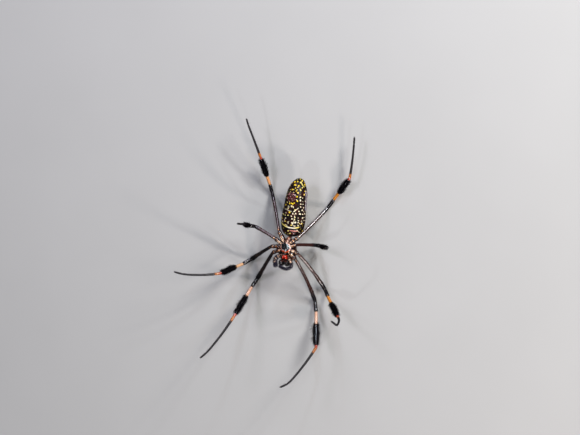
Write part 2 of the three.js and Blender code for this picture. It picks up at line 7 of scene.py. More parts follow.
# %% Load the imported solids
import math
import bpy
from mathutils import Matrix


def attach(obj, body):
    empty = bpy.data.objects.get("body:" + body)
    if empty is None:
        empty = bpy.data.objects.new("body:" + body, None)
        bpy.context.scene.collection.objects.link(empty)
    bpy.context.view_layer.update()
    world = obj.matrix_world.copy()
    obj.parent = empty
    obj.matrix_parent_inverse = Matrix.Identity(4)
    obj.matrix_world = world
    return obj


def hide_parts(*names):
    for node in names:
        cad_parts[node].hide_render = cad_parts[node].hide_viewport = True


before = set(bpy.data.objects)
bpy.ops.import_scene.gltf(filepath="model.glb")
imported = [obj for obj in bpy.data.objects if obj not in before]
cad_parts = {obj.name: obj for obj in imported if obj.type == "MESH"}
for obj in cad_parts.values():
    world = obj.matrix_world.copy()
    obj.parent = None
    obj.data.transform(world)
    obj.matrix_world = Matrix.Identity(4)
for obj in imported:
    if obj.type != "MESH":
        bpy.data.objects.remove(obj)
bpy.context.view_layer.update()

from types import SimpleNamespace

import bmesh
import bpy
import numpy as np
from mathutils import Matrix, Vector

# %% [markdown]
# The spider is modelled in millimetres round the middle of its breastplate, as its solids are.
# Its head points to -Y, its belly to +Z and its right side to +X. A single matrix takes a finished
# mesh from there to the solids' metres, so every size below can be read as a real one.

# %% Units and places
MM = 0.001
BREASTPLATE_AT = Vector((4.132, 2.501, 9.39))
FLOOR_Z = -BREASTPLATE_AT.z
TO_SOLIDS = Matrix.Scale(MM, 4) @ Matrix.Translation(BREASTPLATE_AT)
HEAD_TURN = 4
TO_HEAD = Matrix.Rotation(math.radians(HEAD_TURN), 4, "Z")
UP = Vector((0, 0, 1))
rng = np.random.default_rng(27)

# %% [markdown]
# The photo looks at the belly from a little to the animal's right. The camera is turned with the
# animal, which rests on the floor, and keeps the photo's framing: a size in millimetres for each
# pixel, and the pixel where the middle of the breastplate lies.

# %% Camera
PICTURE = (580, 435)
MM_PER_PIXEL = 0.28
BREASTPLATE_PIXEL = (285.3, 246.5)
VIEW_RIGHT = Vector((0.9256, 0.1384, -0.3524)).normalized()
VIEW_BACK = Vector((0.3402, 0.1045, 0.9345)).normalized()
VIEW_UP = VIEW_BACK.cross(VIEW_RIGHT)
CAMERA_DISTANCE = 475
SENSOR = 36
CLIP = (0.01, 10)


def from_view(right, up, back):
    """The solids' place of a point in millimetres along the view's own axes from the breastplate."""
    return TO_SOLIDS @ (VIEW_RIGHT * right + VIEW_UP * up + VIEW_BACK * back)


shift_right = (PICTURE[0] / 2 - BREASTPLATE_PIXEL[0]) * MM_PER_PIXEL
shift_up = (BREASTPLATE_PIXEL[1] - PICTURE[1] / 2) * MM_PER_PIXEL
camera_data = bpy.data.cameras.new("camera")
camera_data.sensor_width = SENSOR
camera_data.lens = SENSOR * CAMERA_DISTANCE / (PICTURE[0] * MM_PER_PIXEL)
camera_data.clip_start, camera_data.clip_end = CLIP
camera = bpy.data.objects.new("camera", camera_data)
axes = Matrix((VIEW_RIGHT, VIEW_UP, VIEW_BACK)).transposed().to_4x4()
camera.matrix_world = Matrix.Translation(from_view(shift_right, shift_up, CAMERA_DISTANCE)) @ axes
bpy.context.scene.collection.objects.link(camera)
bpy.context.scene.camera = camera
print("camera at", [round(c, 4) for c in camera.location], "lens", round(camera_data.lens, 2))

# %% [markdown]
# Shell is dark and glossy, so its form is read from its highlights. Each small bright lamp stands
# where one or two of the legs mirror it to the camera, and gives the pale line along them. A broad
# lamp fills the shadows. The floor is plain and pale. Floor and fill are kept out of reflections, as
# black cards would do in a studio, so that black stays black.


# %% Lamps
def lamp(name, right, up, back, size, power, tint):
    """A round lamp at a place along the view's axes in millimetres, facing the spider."""
    data = bpy.data.lights.new(name, "AREA")
    data.shape = "DISK"
    data.size = size * MM
    data.energy = power
    data.color = tint
    piece = bpy.data.objects.new(name, data)
    place = from_view(right, up, back)
    away = place - TO_SOLIDS @ Vector((0, 0, 0))
    piece.matrix_world = Matrix.Translation(place) @ away.to_track_quat("Z", "Y").to_matrix().to_4x4()
    bpy.context.scene.collection.objects.link(piece)
    return piece


COOL = (0.92, 0.95, 1.0)
LILAC = (0.9, 0.84, 1.0)
lamp("key", 170, 170, 300, 110, 0.85, (1.0, 0.97, 0.93))
lamp("key_glint", 190, 195, 275, 30, 0.28, (1.0, 0.95, 0.95))
lamp("sky_glint", -8, 300, 245, 34, 0.26, (0.72, 0.84, 1.0))
lamp("high_glint", 150, 225, 250, 32, 0.3, COOL)
lamp("low_glint", 164, -248, 238, 55, 0.6, (1.0, 0.9, 0.86))
lamp("foot_glint", 76, -250, 272, 28, 0.16, COOL)
lamp("far_glint", -175, -240, 235, 28, 0.16, COOL)
lamp("left_glint", -250, 145, 248, 80, 0.25, LILAC)
lamp("top_glint", -62, 362, 95, 80, 0.25, LILAC)
lamp("fill", -260, 60, 240, 200, 0.2, (0.93, 0.95, 1.0)).visible_glossy = False
print("lamps", len(bpy.data.lights))

# %% Sky and floor
SKY_COLOUR = (0.86, 0.9, 0.95, 1)
SKY_STRENGTH = 0.07
FLOOR_SIZE = 1.6
sky = bpy.data.worlds.new("sky")
sky.use_nodes = True
sky_light = sky.node_tree.nodes["Background"]
sky_light.inputs["Color"].default_value = SKY_COLOUR
sky_light.inputs["Strength"].default_value = SKY_STRENGTH
bpy.context.scene.world = sky
bpy.context.scene.view_settings.view_transform = "Standard"

floor_mesh = bmesh.new()
bmesh.ops.create_grid(floor_mesh, x_segments=1, y_segments=1, size=FLOOR_SIZE / 2)
floor_data = bpy.data.meshes.new("floor")
floor_mesh.to_mesh(floor_data)
floor_mesh.free()
floor = bpy.data.objects.new("floor", floor_data)
floor.visible_glossy = False
bpy.context.scene.collection.objects.link(floor)
print("floor", FLOOR_SIZE, "m")

# %% [markdown]
# Finishes are node trees. A few short helpers make them readable: each adds a node, feeds its sockets
# with numbers, colours or other nodes' outputs, and returns its result.


# %% Helpers for nodes
def feed(tree, socket, value):
    """Gives a socket another node's output, a number, a vector or a colour."""
    if isinstance(value, bpy.types.NodeSocket):
        tree.links.new(value, socket)
    else:
        socket.default_value = (*value, 1) if socket.type == "RGBA" else value


def node(tree, kind, inputs, **settings):
    """A new node with its own settings, fed through sockets that are given by name or number."""
    made = tree.nodes.new("ShaderNode" + kind)
    for setting, choice in settings.items():
        setattr(made, setting, choice)
    for key, value in inputs.items():
        feed(tree, made.inputs[key], value)
    return made


def maths(tree, operation, *values):
    return node(tree, "Math", dict(enumerate(values)), operation=operation).outputs[0]


def plus(tree, a, b):
    return maths(tree, "ADD", a, b)


def minus(tree, a, b):
    return maths(tree, "SUBTRACT", a, b)


def times(tree, a, b):
    return maths(tree, "MULTIPLY", a, b)


def larger(tree, a, b):
    return maths(tree, "MAXIMUM", a, b)


def attribute(tree, name):
    """A number that is stored on the mesh."""
    return node(tree, "Attribute", {}, attribute_name=name).outputs["Fac"]


# %% Helpers for patterns
def step(tree, value, low, high):
    """0 below low and 1 above high, with a soft rise between. It falls where low is above high."""
    falls = low > high
    inputs = {"Value": value, "From Min": min(low, high), "From Max": max(low, high),
              "To Min": int(falls), "To Max": int(not falls)}
    return node(tree, "MapRange", inputs, interpolation_type="SMOOTHSTEP").outputs["Result"]


def in_windows(tree, value, windows):
    """1 inside any of the windows. Each says where it starts, is full, begins to fade and ends."""
    shown = 0.0
    for start, full, fade, end in windows:
        inside = times(tree, step(tree, value, start, full), step(tree, value, end, fade))
        shown = larger(tree, inside, shown)
    return shown


def mix(tree, share, a, b):
    """Colour a where share is 0 and colour b where it is 1."""
    return node(tree, "Mix", {0: share, 6: a, 7: b}, data_type="RGBA").outputs[2]


def ramp(tree, value, stops):
    """A colour ramp over stops of (position, colour)."""
    made = node(tree, "ValToRGB", {0: value})
    elements = made.color_ramp.elements
    while len(elements) < len(stops):
        elements.new(1.0)
    for element, (position, shade) in zip(elements, stops):
        element.position = position
        element.color = (*shade, 1)
    return made.outputs[0]


def noise(tree, size, detail=3.0, roughness=0.55, vector=None):
    """Noise with features of a size in millimetres, on the piece's own coordinates or on a vector's."""
    place = vector or node(tree, "TexCoord", {}).outputs["Object"]
    scale = 1 / (size * (1 if vector else MM))
    inputs = {"Vector": place, "Scale": scale, "Detail": detail, "Roughness": roughness}
    return node(tree, "TexNoise", inputs).outputs["Fac"]


def waver(tree, size, depth, **kind):
    """Noise round zero, which makes an edge wander."""
    return times(tree, minus(tree, noise(tree, size, **kind), 0.5), depth)


# %% Helpers for materials
COAT_ROUGHNESS = 0.12


def finish(name, roughness=0.35, coat=0.0, specular=0.5, sheen=0.0):
    """A material with its shader's constant values set on the shader itself."""
    material = bpy.data.materials.new(name)
    material.use_nodes = True
    tree = material.node_tree
    shader = tree.nodes["Principled BSDF"]
    shader.inputs["Roughness"].default_value = roughness
    shader.inputs["Coat Weight"].default_value = coat
    shader.inputs["Coat Roughness"].default_value = COAT_ROUGHNESS
    shader.inputs["Specular IOR Level"].default_value = specular
    shader.inputs["Sheen Weight"].default_value = sheen
    return material, tree, shader


def colour(tree, shader, output):
    tree.links.new(output, shader.inputs["Base Color"])


def bump(tree, shader, height, depth, strength=1.0):
    """Relief of a depth in millimetres."""
    made = node(tree, "Bump", {"Height": height, "Distance": depth * MM, "Strength": strength})
    tree.links.new(made.outputs[0], shader.inputs["Normal"])


def mottled(name, size, dark, light, relief=None, detail=3.0, **gloss):
    """A finish that wanders between two colours, with relief of a size and a depth if that is given."""
    material, tree, shader = finish(name, **gloss)
    colour(tree, shader, mix(tree, noise(tree, size, detail=detail), dark, light))
    if relief:
        bump(tree, shader, noise(tree, relief[0]), relief[1])
    return material


floor_paint = mottled("floor_paint", 30.0, (0.45, 0.45, 0.44), (0.48, 0.48, 0.47),
                      detail=2.0, roughness=0.6, specular=0.25)
floor_data.materials.append(floor_paint)
print("finish", floor_paint.name, len(floor_paint.node_tree.nodes), "nodes")

# %% [markdown]
# Legs, palps, fangs and the abdomen are all round bodies along a curve. Each is held as a tube: a row
# of stations with a centre, a side axis, an upper axis, the way along and a radius. The same rows
# make the skin and tell where the bristles root, so a bristle can never float off its leg.

# %% Tubes
SMALLEST_RING = 0.02


def read(table, at):
    """Reads a table of (place, value) rows at any place."""
    return np.interp(at, *zip(*table))


def distances_along(line):
    """How far along a line each of its points lies."""
    return np.concatenate([[0], np.cumsum(np.linalg.norm(np.diff(line, axis=0), axis=1))])


def make_tube(centres, radii, places, wide=None, first_side=None):
    """Stations along a curve, whose axes turn as little as possible from one to the next."""
    centres = np.array([tuple(c) for c in centres], float)
    along = np.gradient(centres, axis=0)
    along /= np.linalg.norm(along, axis=1)[:, None]
    side = first_side or UP.cross(Vector(along[0]) + Vector((0.001, 0, 0)))
    sides, overs = [], []
    before = Vector(along[0])
    for way in map(Vector, along):
        side = before.rotation_difference(way) @ side
        side = (side - way * side.dot(way)).normalized()
        sides.append(side)
        overs.append(way.cross(side))
        before = way
    return SimpleNamespace(
        centre=centres, along=along, side=np.array(sides), over=np.array(overs),
        radius=np.maximum(np.array(radii, float), SMALLEST_RING),
        wide=np.ones(len(centres)) if wide is None else np.array(wide, float),
        place=np.array(places, float), reach=distances_along(centres))


def reach_of(tube, place):
    """How far along the tube a place lies."""
    return np.interp(place, tube.place, tube.reach)


def between(tube, values, reach):
    """A row of the tube's values, read at any distance along it."""
    values = np.asarray(values)
    if values.ndim == 1:
        return np.interp(reach, tube.reach, values)
    return np.stack([np.interp(reach, tube.reach, values[:, k]) for k in range(3)], axis=-1)


def on_tube(tube, reach, angle):
    """Points of the skin, the way out and the way along, at distances and angles from the side axis."""
    side, over = between(tube, tube.side, reach), between(tube, tube.over, reach)
    across = np.cos(angle)[:, None] * side * between(tube, tube.wide, reach)[:, None]
    out = across + np.sin(angle)[:, None] * over
    point = between(tube, tube.centre, reach) + out * between(tube, tube.radius, reach)[:, None]
    out /= np.linalg.norm(out, axis=1)[:, None]
    return point, out, between(tube, tube.along, reach)


# %% [markdown]
# A tube becomes a skin by extruding a circle from station to station. The circle's corners carry two
# numbers along, the place on the limb and the angle round it, which the finishes read.


# %% Skins swept along a tube
def ring_matrix(tube, i):
    """Takes the unit circle to station i."""
    turn = Matrix((tube.side[i], tube.over[i], tube.along[i])).transposed().to_4x4()
    size = Matrix.Diagonal((tube.radius[i] * tube.wide[i], tube.radius[i], 1, 1))
    return Matrix.Translation(Vector(tube.centre[i])) @ turn @ size


def grow_ring(mesh, edges):
    """Extrudes a ring of edges where it is, and returns the new ring's corners and edges."""
    grown = bmesh.ops.extrude_edge_only(mesh, edges=edges)["geom"]
    ring = [part for part in grown if isinstance(part, bmesh.types.BMVert)]
    fresh = set(ring)
    edges = [part for part in grown if isinstance(part, bmesh.types.BMEdge)]
    return ring, [edge for edge in edges if set(edge.verts) <= fresh]


def edges_of(ring):
    """The edges that meet a ring's corners, each once and always in the same order."""
    return list(dict.fromkeys(edge for vertex in ring for edge in vertex.link_edges))


def sweep(mesh, tube, sides):
    """Extrudes a circle from station to station and closes both ends at a point."""
    place = mesh.verts.layers.float.get("place") or mesh.verts.layers.float.new("place")
    angle = mesh.verts.layers.float.get("angle") or mesh.verts.layers.float.new("angle")
    first = ring = bmesh.ops.create_circle(mesh, segments=sides, radius=1.0)["verts"]
    for vertex in ring:
        vertex[angle] = math.atan2(vertex.co.y, vertex.co.x)
        vertex[place] = tube.place[0]
    edges = edges_of(ring)
    bmesh.ops.transform(mesh, matrix=ring_matrix(tube, 0), verts=ring)
    for i in range(1, len(tube.centre)):
        ring, edges = grow_ring(mesh, edges)
        onward = ring_matrix(tube, i) @ ring_matrix(tube, i - 1).inverted()
        bmesh.ops.transform(mesh, matrix=onward, verts=ring)
        for vertex in ring:
            vertex[place] = tube.place[i]
    for end, station in ((first, 0), (ring, -1)):
        bmesh.ops.pointmerge(mesh, verts=end, merge_co=Vector(tube.centre[station]))


def store(mesh, **numbers):
    """Stores numbers on the mesh's corners, under names that a finish reads them by."""
    for title, values in numbers.items():
        layer = mesh.verts.layers.float.new(title)
        for vertex, value in zip(mesh.verts, values):
            vertex[layer] = float(value)


def store_belly(mesh):
    """Stores how squarely each corner faces the belly side, from -1 to 1."""
    bmesh.ops.recalc_face_normals(mesh, faces=mesh.faces)
    mesh.normal_update()
    store(mesh, belly=[vertex.normal.z for vertex in mesh.verts])


# %% Finished pieces
def finish_piece(data, name, material, nodes=()):
    """Makes a piece of a finished mesh, and hides the solids it stands for."""
    data.materials.append(material)
    piece = bpy.data.objects.new(name, data)
    bpy.context.scene.collection.objects.link(piece)
    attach(piece, "root")
    if nodes:
        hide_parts(*nodes)
    data.calc_loop_triangles()
    print(name, len(data.loop_triangles), "triangles")
    return piece


def settle(mesh, name, material, nodes=(), keep_above_floor=False):
    """Takes a mesh in the animal's millimetres to its place and makes a smooth piece of it."""
    if keep_above_floor:
        for vertex in mesh.verts:
            vertex.co.z = max(vertex.co.z, FLOOR_Z)
    bmesh.ops.recalc_face_normals(mesh, faces=mesh.faces)
    bmesh.ops.transform(mesh, matrix=TO_SOLIDS, verts=mesh.verts)
    for face in mesh.faces:
        face.smooth = True
    data = bpy.data.meshes.new(name)
    mesh.to_mesh(data)
    mesh.free()
    return finish_piece(data, name, material, nodes)


# %% [markdown]
# A bristle is a thin cone of three sides that rises from its root and bends over along the limb.
# One is modelled once, and thousands are set by arrays of roots, directions and sizes. Each copy
# carries its root's place on the limb, so it takes the skin's colour there, and a small patch of the
# bake map round its root's place on the limb's own unwrap.

# %% One bristle
BRISTLE_SIDES = 3


def bristle(rings, taper):
    """A unit bristle along +Y that rises to +Z: its corners and its faces, three-sided to the tip."""
    mesh = bmesh.new()
    ring = bmesh.ops.create_circle(mesh, segments=BRISTLE_SIDES, radius=1.0)["verts"]
    bmesh.ops.rotate(mesh, verts=ring, matrix=Matrix.Rotation(math.radians(90), 3, "X"))
    edges = list(mesh.edges)
    for i in range(1, rings + 1):
        ring, edges = grow_ring(mesh, edges)
        bmesh.ops.translate(mesh, verts=ring, vec=(0, 1 / rings, 0))
        size = (1 - i / rings) ** taper / (1 - (i - 1) / rings) ** taper
        bmesh.ops.scale(mesh, verts=ring, vec=(size, 1, size))
    bmesh.ops.pointmerge(mesh, verts=ring, merge_co=Vector((0, 1, 0)))
    bmesh.ops.recalc_face_normals(mesh, faces=mesh.faces)
    mesh.verts.index_update()
    corners = np.array([vertex.co[:] for vertex in mesh.verts])
    faces = [[vertex.index for vertex in face.verts] for face in mesh.faces]
    mesh.free()
    return corners, faces


FINE = bristle(1, 1.0)
SHORT = bristle(2, 0.8)
LONG = bristle(3, 0.7)
print("bristle faces", len(FINE[1]), len(SHORT[1]), len(LONG[1]))


# %% Coats of bristles
PATCH = 0.003
ROOT_DEPTH = 0.05


def bent_copies(corners, roots, out, lie, sizes):
    """The corners of one copy for each root. It leaves the skin at a slope and bends over along lie."""
    length, lift, thick = sizes
    lie = lie - (lie * out).sum(1)[:, None] * out
    lie /= np.linalg.norm(lie, axis=1)[:, None]
    across = np.cross(lie, out)
    way = corners[:, 1]
    rise = np.outer(lift, way * (1.35 - 0.35 * way))
    forward = np.outer(np.sqrt(np.clip(1 - lift ** 2, 0.05, 1)), way * (0.55 + 0.45 * way))
    bend = out[:, None] * rise[..., None] + lie[:, None] * forward[..., None]
    spine = roots[:, None] + bend * length[:, None, None]
    wide = np.outer(thick, corners[:, 0])[..., None] * across[:, None]
    deep = np.outer(thick, corners[:, 2])[..., None] * out[:, None]
    points = (spine + wide + deep).reshape(-1, 3)
    points[:, 2] = np.maximum(points[:, 2], FLOOR_Z)
    return (points + np.array(BREASTPLATE_AT)) * MM


def coat(name, form, roots, out, lie, sizes, place, bake_at, material, slot):
    """A piece with a copy of one bristle at each root. sizes are lengths, lifts and thicknesses."""
    corners, faces = form
    count = len(roots)
    points = bent_copies(corners, roots, out, lie, sizes)
    corner_list = np.concatenate(faces)
    loops = (corner_list[None] + (np.arange(count) * len(corners))[:, None]).ravel()
    face_sizes = np.tile([len(face) for face in faces], count)
    starts = np.concatenate([[0], np.cumsum(face_sizes)[:-1]])
    data = bpy.data.meshes.new(name)
    data.vertices.add(len(points))
    data.vertices.foreach_set("co", points.astype(np.float32).ravel())
    data.loops.add(len(loops))
    data.loops.foreach_set("vertex_index", loops.astype(np.int32))
    data.polygons.add(len(starts))
    data.polygons.foreach_set("loop_start", starts.astype(np.int32))
    data.update(calc_edges=True)
    data.polygons.foreach_set("use_smooth", np.ones(len(starts), bool))
    uv = data.uv_layers.new(name="OFBake")
    local = np.stack([corners[:, 0] / 2, corners[:, 1] - 0.5], axis=1)[corner_list] * PATCH
    uv.data.foreach_set("uv", (bake_at[:, None] + local[None]).astype(np.float32).ravel())
    layer = data.attributes.new("place", "FLOAT", "POINT")
    layer.data.foreach_set("value", np.repeat(place, len(corners)).astype(np.float32))
    data.validate()
    return finish_piece(data, name, material)


def draw_sizes(count, *spans):
    """Random lengths, lifts and thicknesses, each between two limits."""
    return [rng.uniform(*span, count) for span in spans]


def plant(name, form, tube, reach, angle, sizes, material, slot, place=None, turn=None, depth=ROOT_DEPTH):
    """A coat on a tube, at distances and angles. Roots are sunk a little, so that no gap shows."""
    roots, out, lie = on_tube(tube, reach, angle)
    if turn is not None:
        roots, out, lie = (values @ np.array(turn.to_3x3()).T for values in (roots, out, lie))
    place = between(tube, tube.place, reach) if place is None else place
    bake_at = np.stack([reach / tube.reach[-1], angle / math.tau], axis=1)
    return coat(name, form, roots - out * depth, out, lie, sizes, place, bake_at, material, slot)


# %% [markdown]
# A leg of this spider has seven segments: coxa and trochanter at the body, then femur, patella,
# tibia, metatarsus and tarsus. Their lengths, thickness and pose are those of the solids. Angles are
# a yaw round the vertical and a pitch above the floor, and the femora of pairs 1, 2 and 4 slope down
# as far as the knees, which rest on the floor.

# %% Sizes and pose of the legs
HIP_DROP = 1.0
ROOT_RISE = 0.05
KNEE_DROP = 9.0
PAIRS = {
    1: dict(patella=3.15, tibia=11.0, metatarsus=13.4, tarsus=2.3, bulk=1.0),
    2: dict(patella=2.95, tibia=8.5, metatarsus=10.95, tarsus=2.4, bulk=0.98),
    3: dict(patella=1.8, tibia=3.6, metatarsus=4.3, tarsus=1.5, bulk=0.98),
    4: dict(patella=2.95, tibia=8.45, metatarsus=9.8, tarsus=1.95, bulk=0.95),
}
LEGS = {
    "leg_1_left": dict(
        pair=1, hip=(-3.85, -2.49), bearing=216, femur=(-126, -124), femur_length=13.9,
        patella=(-105, 37), tibia=(-98, 44), metatarsus=((-104, 34), (-117, 29)), tarsus=(-129, 22)),
    "leg_1_right": dict(
        pair=1, hip=(3.18, -3.16), bearing=-52, femur=(-61, -75), femur_length=15.22,
        patella=(-68, 22), tibia=(-70, 29), metatarsus=((-105, 34), (-120, 28)), tarsus=(-149, 24)),
    "leg_2_left": dict(
        pair=2, hip=(-4.44, -0.76), bearing=184, femur=(-147, -145), femur_length=13.0,
        patella=(-138, 34), tibia=(-143, 54), metatarsus=((-164, 42), (-179, 33)), tarsus=(170, 23)),
    "leg_2_right": dict(
        pair=2, hip=(3.62, -1.46), bearing=-18, femur=(-48, -62), femur_length=14.5,
        patella=(-41, 40), tibia=(-39, 35), metatarsus=((-1, 64), (-30, 79)), tarsus=(136, 45)),
    "leg_3_left": dict(
        pair=3, hip=(-3.62, 1.53), bearing=150, femur=(159, 165), femur_length=7.5, femur_pitch=-8,
        patella=(174, 60), tibia=(125, 80), metatarsus=((50, 82), (60, 84)), tarsus=(120, 84)),
    "leg_3_right": dict(
        pair=3, hip=(2.81, 0.91), bearing=20, femur=(4, -2), femur_length=7.5, femur_pitch=-62,
        patella=(4, 32), tibia=(2, 38), metatarsus=((13, 72), (20, 74)), tarsus=(36, 78)),
    "leg_4_left": dict(
        pair=4, hip=(-2.84, 3.81), bearing=118, femur=(123, 127), femur_length=14.0,
        patella=(105, 25), tibia=(110, 22), metatarsus=((113, 18), (117, 12)), tarsus=(115, 3)),
    "leg_4_right": dict(
        pair=4, hip=(3.0, 2.85), bearing=58, femur=(59, 65), femur_length=13.1,
        patella=(59, 9), tibia=(57, 15), metatarsus=((85, 8), (93, 4)), tarsus=(95, -3)),
}
SEGMENTS = ("coxa", "femur", "patella", "tibia", "metatarsus", "tarsus")
BREASTPLATE = SimpleNamespace(half_width=1.6, half_length=1.5, centre_y=-0.25)

# %% Thickness of the legs
RADII = {
    "coxa": ((-0.1, 0.45), (0.0, 0.62), (0.14, 0.76), (0.32, 0.8), (0.5, 0.75), (0.6, 0.68), (0.645, 0.5),
             (0.665, 0.48), (0.7, 0.57), (0.82, 0.6), (0.94, 0.57), (1.0, 0.5)),
    "femur": ((0, 0.38), (0.07, 0.44), (0.3, 0.44), (0.65, 0.46), (0.88, 0.54), (1, 0.5)),
    "patella": ((0, 0.48), (0.2, 0.52), (0.75, 0.55), (1, 0.46)),
    "tibia": ((0, 0.42), (0.12, 0.44), (0.38, 0.45), (0.8, 0.48), (1, 0.4)),
    "metatarsus": ((0, 0.385), (0.12, 0.37), (0.55, 0.31), (1, 0.285)),
    "tarsus": ((0, 0.285), (0.6, 0.275), (0.9, 0.24), (0.97, 0.17), (1, 0.08)),
}
COXA_NARROW = ((0, 0.62), (0.35, 0.82), (0.6, 0.95), (1, 1))
print("legs", len(LEGS), "of", len(SEGMENTS), "segments")

# %% [markdown]
# A joint is where two shells meet over soft skin. The tube turns the corner on a short arc, thins
# there, and keeps its outer side full, because the soft skin is on the inner side of the bend. The
# outer side of a knee is then what stands on the floor.


# %% Segments of a leg
ROOT_INSIDE = 0.9


def heading(yaw, pitch):
    flat = math.cos(math.radians(pitch))
    turn = math.radians(yaw)
    return Vector((flat * math.cos(turn), flat * math.sin(turn), math.sin(math.radians(pitch))))


def bones_of(leg):
    """The segments of a leg from the breastplate out, each with its headings, length and three points."""
    sizes = PAIRS[leg["pair"]]
    hip = Vector((*leg["hip"], -HIP_DROP))
    bearing = math.radians(leg["bearing"])
    root = Vector((BREASTPLATE.half_width * ROOT_INSIDE * math.cos(bearing),
                   BREASTPLATE.centre_y + BREASTPLATE.half_length * ROOT_INSIDE * math.sin(bearing),
                   ROOT_RISE - HIP_DROP))
    if "femur_pitch" in leg:
        pitch = leg["femur_pitch"]
    else:
        pitch = -math.degrees(math.asin((KNEE_DROP - HIP_DROP) / leg["femur_length"]))
    way = (hip - root).normalized()
    early, late = leg["metatarsus"]
    runs = [
        ("coxa", way, way, (hip - root).length),
        ("femur", heading(leg["femur"][0], pitch), heading(leg["femur"][1], pitch), leg["femur_length"]),
        ("patella", heading(*leg["patella"]), heading(*leg["patella"]), sizes["patella"]),
        ("tibia", heading(*leg["tibia"]), heading(*leg["tibia"]), sizes["tibia"]),
        ("metatarsus", heading(*early), heading(*late), sizes["metatarsus"]),
        ("tarsus", heading(*leg["tarsus"]), heading(*leg["tarsus"]), sizes["tarsus"]),
    ]
    bones, at = [], root
    for part, start, end, length in runs:
        middle = at + start * length / 2
        bones.append(SimpleNamespace(part=part, start=start, end=end, length=length, at=at, middle=middle,
                                     to=middle + end * length / 2))
        at = bones[-1].to
    return bones


def on_arc(start, middle, end, share):
    """A point of the curve that leaves start towards middle and comes from there into end."""
    return start * (1 - share) ** 2 + middle * 2 * share * (1 - share) + end * share ** 2


bones = {name: bones_of(leg) for name, leg in LEGS.items()}
print("knees at", [round(leg_bones[1].to.z, 2) for leg_bones in bones.values()], "mm")
print("floor at", round(FLOOR_Z, 2), "mm")

# %% Stations along a leg
STATION_STEP = 0.32
JOINT_STEP = 0.09
JOINT_REACH = 0.8
JOINT_THIN = 0.2
THIN_REACH = 0.16
LIFT_REACH = 0.3
SWELL = SimpleNamespace(share=0.05, at=0.5, reach=0.25)
ARC_STATIONS = 9
SHORTEST_ARC, LONGEST_ARC, FULL_TURN = 0.1, 0.42, math.radians(60)
FOOT_ARC, SHARP_FOOT_ARC, SLIGHT_TURN = 0.7, 0.3, 0.7
STRAIGHT = 0.05
NO_JOINT = 9.0


def stretch(low, high):
    """Distances from low to high, close together near both ends."""
    if high - low < 2.2 * JOINT_REACH:
        return np.linspace(low, high, 2 + int((high - low) / JOINT_STEP))
    near = np.arange(0, JOINT_REACH, JOINT_STEP)
    steps = max(2, int((high - low - 2 * JOINT_REACH) / STATION_STEP))
    middle = np.linspace(low + JOINT_REACH, high - JOINT_REACH, steps)
    return np.concatenate([low + near, middle, high - near[::-1]])


def joint_between(bone, after):
    """A joint's arc on each side of its corner, its outer side, and how far that side is kept full."""
    turn = bone.end.angle(after.start)
    arc = min(LONGEST_ARC, max(SHORTEST_ARC, LONGEST_ARC * turn / FULL_TURN))
    if after.part == "tarsus":
        arc = after.length * (FOOT_ARC if turn < SLIGHT_TURN else SHARP_FOOT_ARC)
    outer = (bone.end - after.start).normalized() if turn > STRAIGHT else Vector()
    lift = 0.0 if after.part == "tarsus" else arc * math.sin(turn / 2) / 2
    return SimpleNamespace(arc=arc, outer=outer, lift=lift)


def leg_tube(leg, bones):
    """The tube of a whole leg. Its place runs from 0 at the coxa's root to 6 at the tip."""
    bulk = PAIRS[leg["pair"]]["bulk"]
    end = SimpleNamespace(arc=0.0, outer=Vector(), lift=0.0)
    joints = [joint_between(bone, after) for bone, after in zip(bones, bones[1:])]
    centres, radii, wides, places = [], [], [], []

    def add_station(centre, part, share, place, off, joint, wide=1):
        size = read(RADII[part], share) * (1 if part == "coxa" else bulk)
        thin = size * JOINT_THIN * math.exp(-(off / THIN_REACH) ** 2)
        swell = SWELL.share * math.exp(-((off - SWELL.at) / SWELL.reach) ** 2)
        centres.append(centre + joint.outer * (thin + joint.lift * math.exp(-(off / LIFT_REACH) ** 2)))
        radii.append(size * (1 + swell) - thin)
        wides.append(wide)
        places.append(place)

    for k, (bone, before, after) in enumerate(zip(bones, [end, *joints], [*joints, end])):
        for distance in stretch(before.arc, bone.length - after.arc):
            share = distance / bone.length
            first_half = distance < bone.length / 2
            joint = before if first_half else after
            off = distance if first_half else bone.length - distance
            wide = read(COXA_NARROW, share) if k == 0 else 1
            add_station(on_arc(bone.at, bone.middle, bone.to, share), bone.part, share, k + share,
                        NO_JOINT if joint is end else off, joint, wide)
        if after is end:
            break
        beyond = bones[k + 1]
        corner_in = on_arc(bone.at, bone.middle, bone.to, 1 - after.arc / bone.length)
        corner_out = on_arc(beyond.at, beyond.middle, beyond.to, after.arc / beyond.length)
        for t in np.linspace(0, 1, ARC_STATIONS)[1:-1]:
            off = abs(2 * t - 1) * after.arc
            centre = on_arc(corner_in, bone.to, corner_out, t)
            if t < 0.5:
                share = 1 - off / bone.length
                add_station(centre, bone.part, share, k + share, off, after)
            else:
                share = off / beyond.length
                add_station(centre, beyond.part, share, k + 1 + share, off, after)
    return make_tube(centres, radii, places, wides)


tubes = {name: leg_tube(leg, bones[name]) for name, leg in LEGS.items()}
for name, tube in tubes.items():
    print(name, len(tube.centre), "stations", round(tube.reach[-1], 1), "mm")
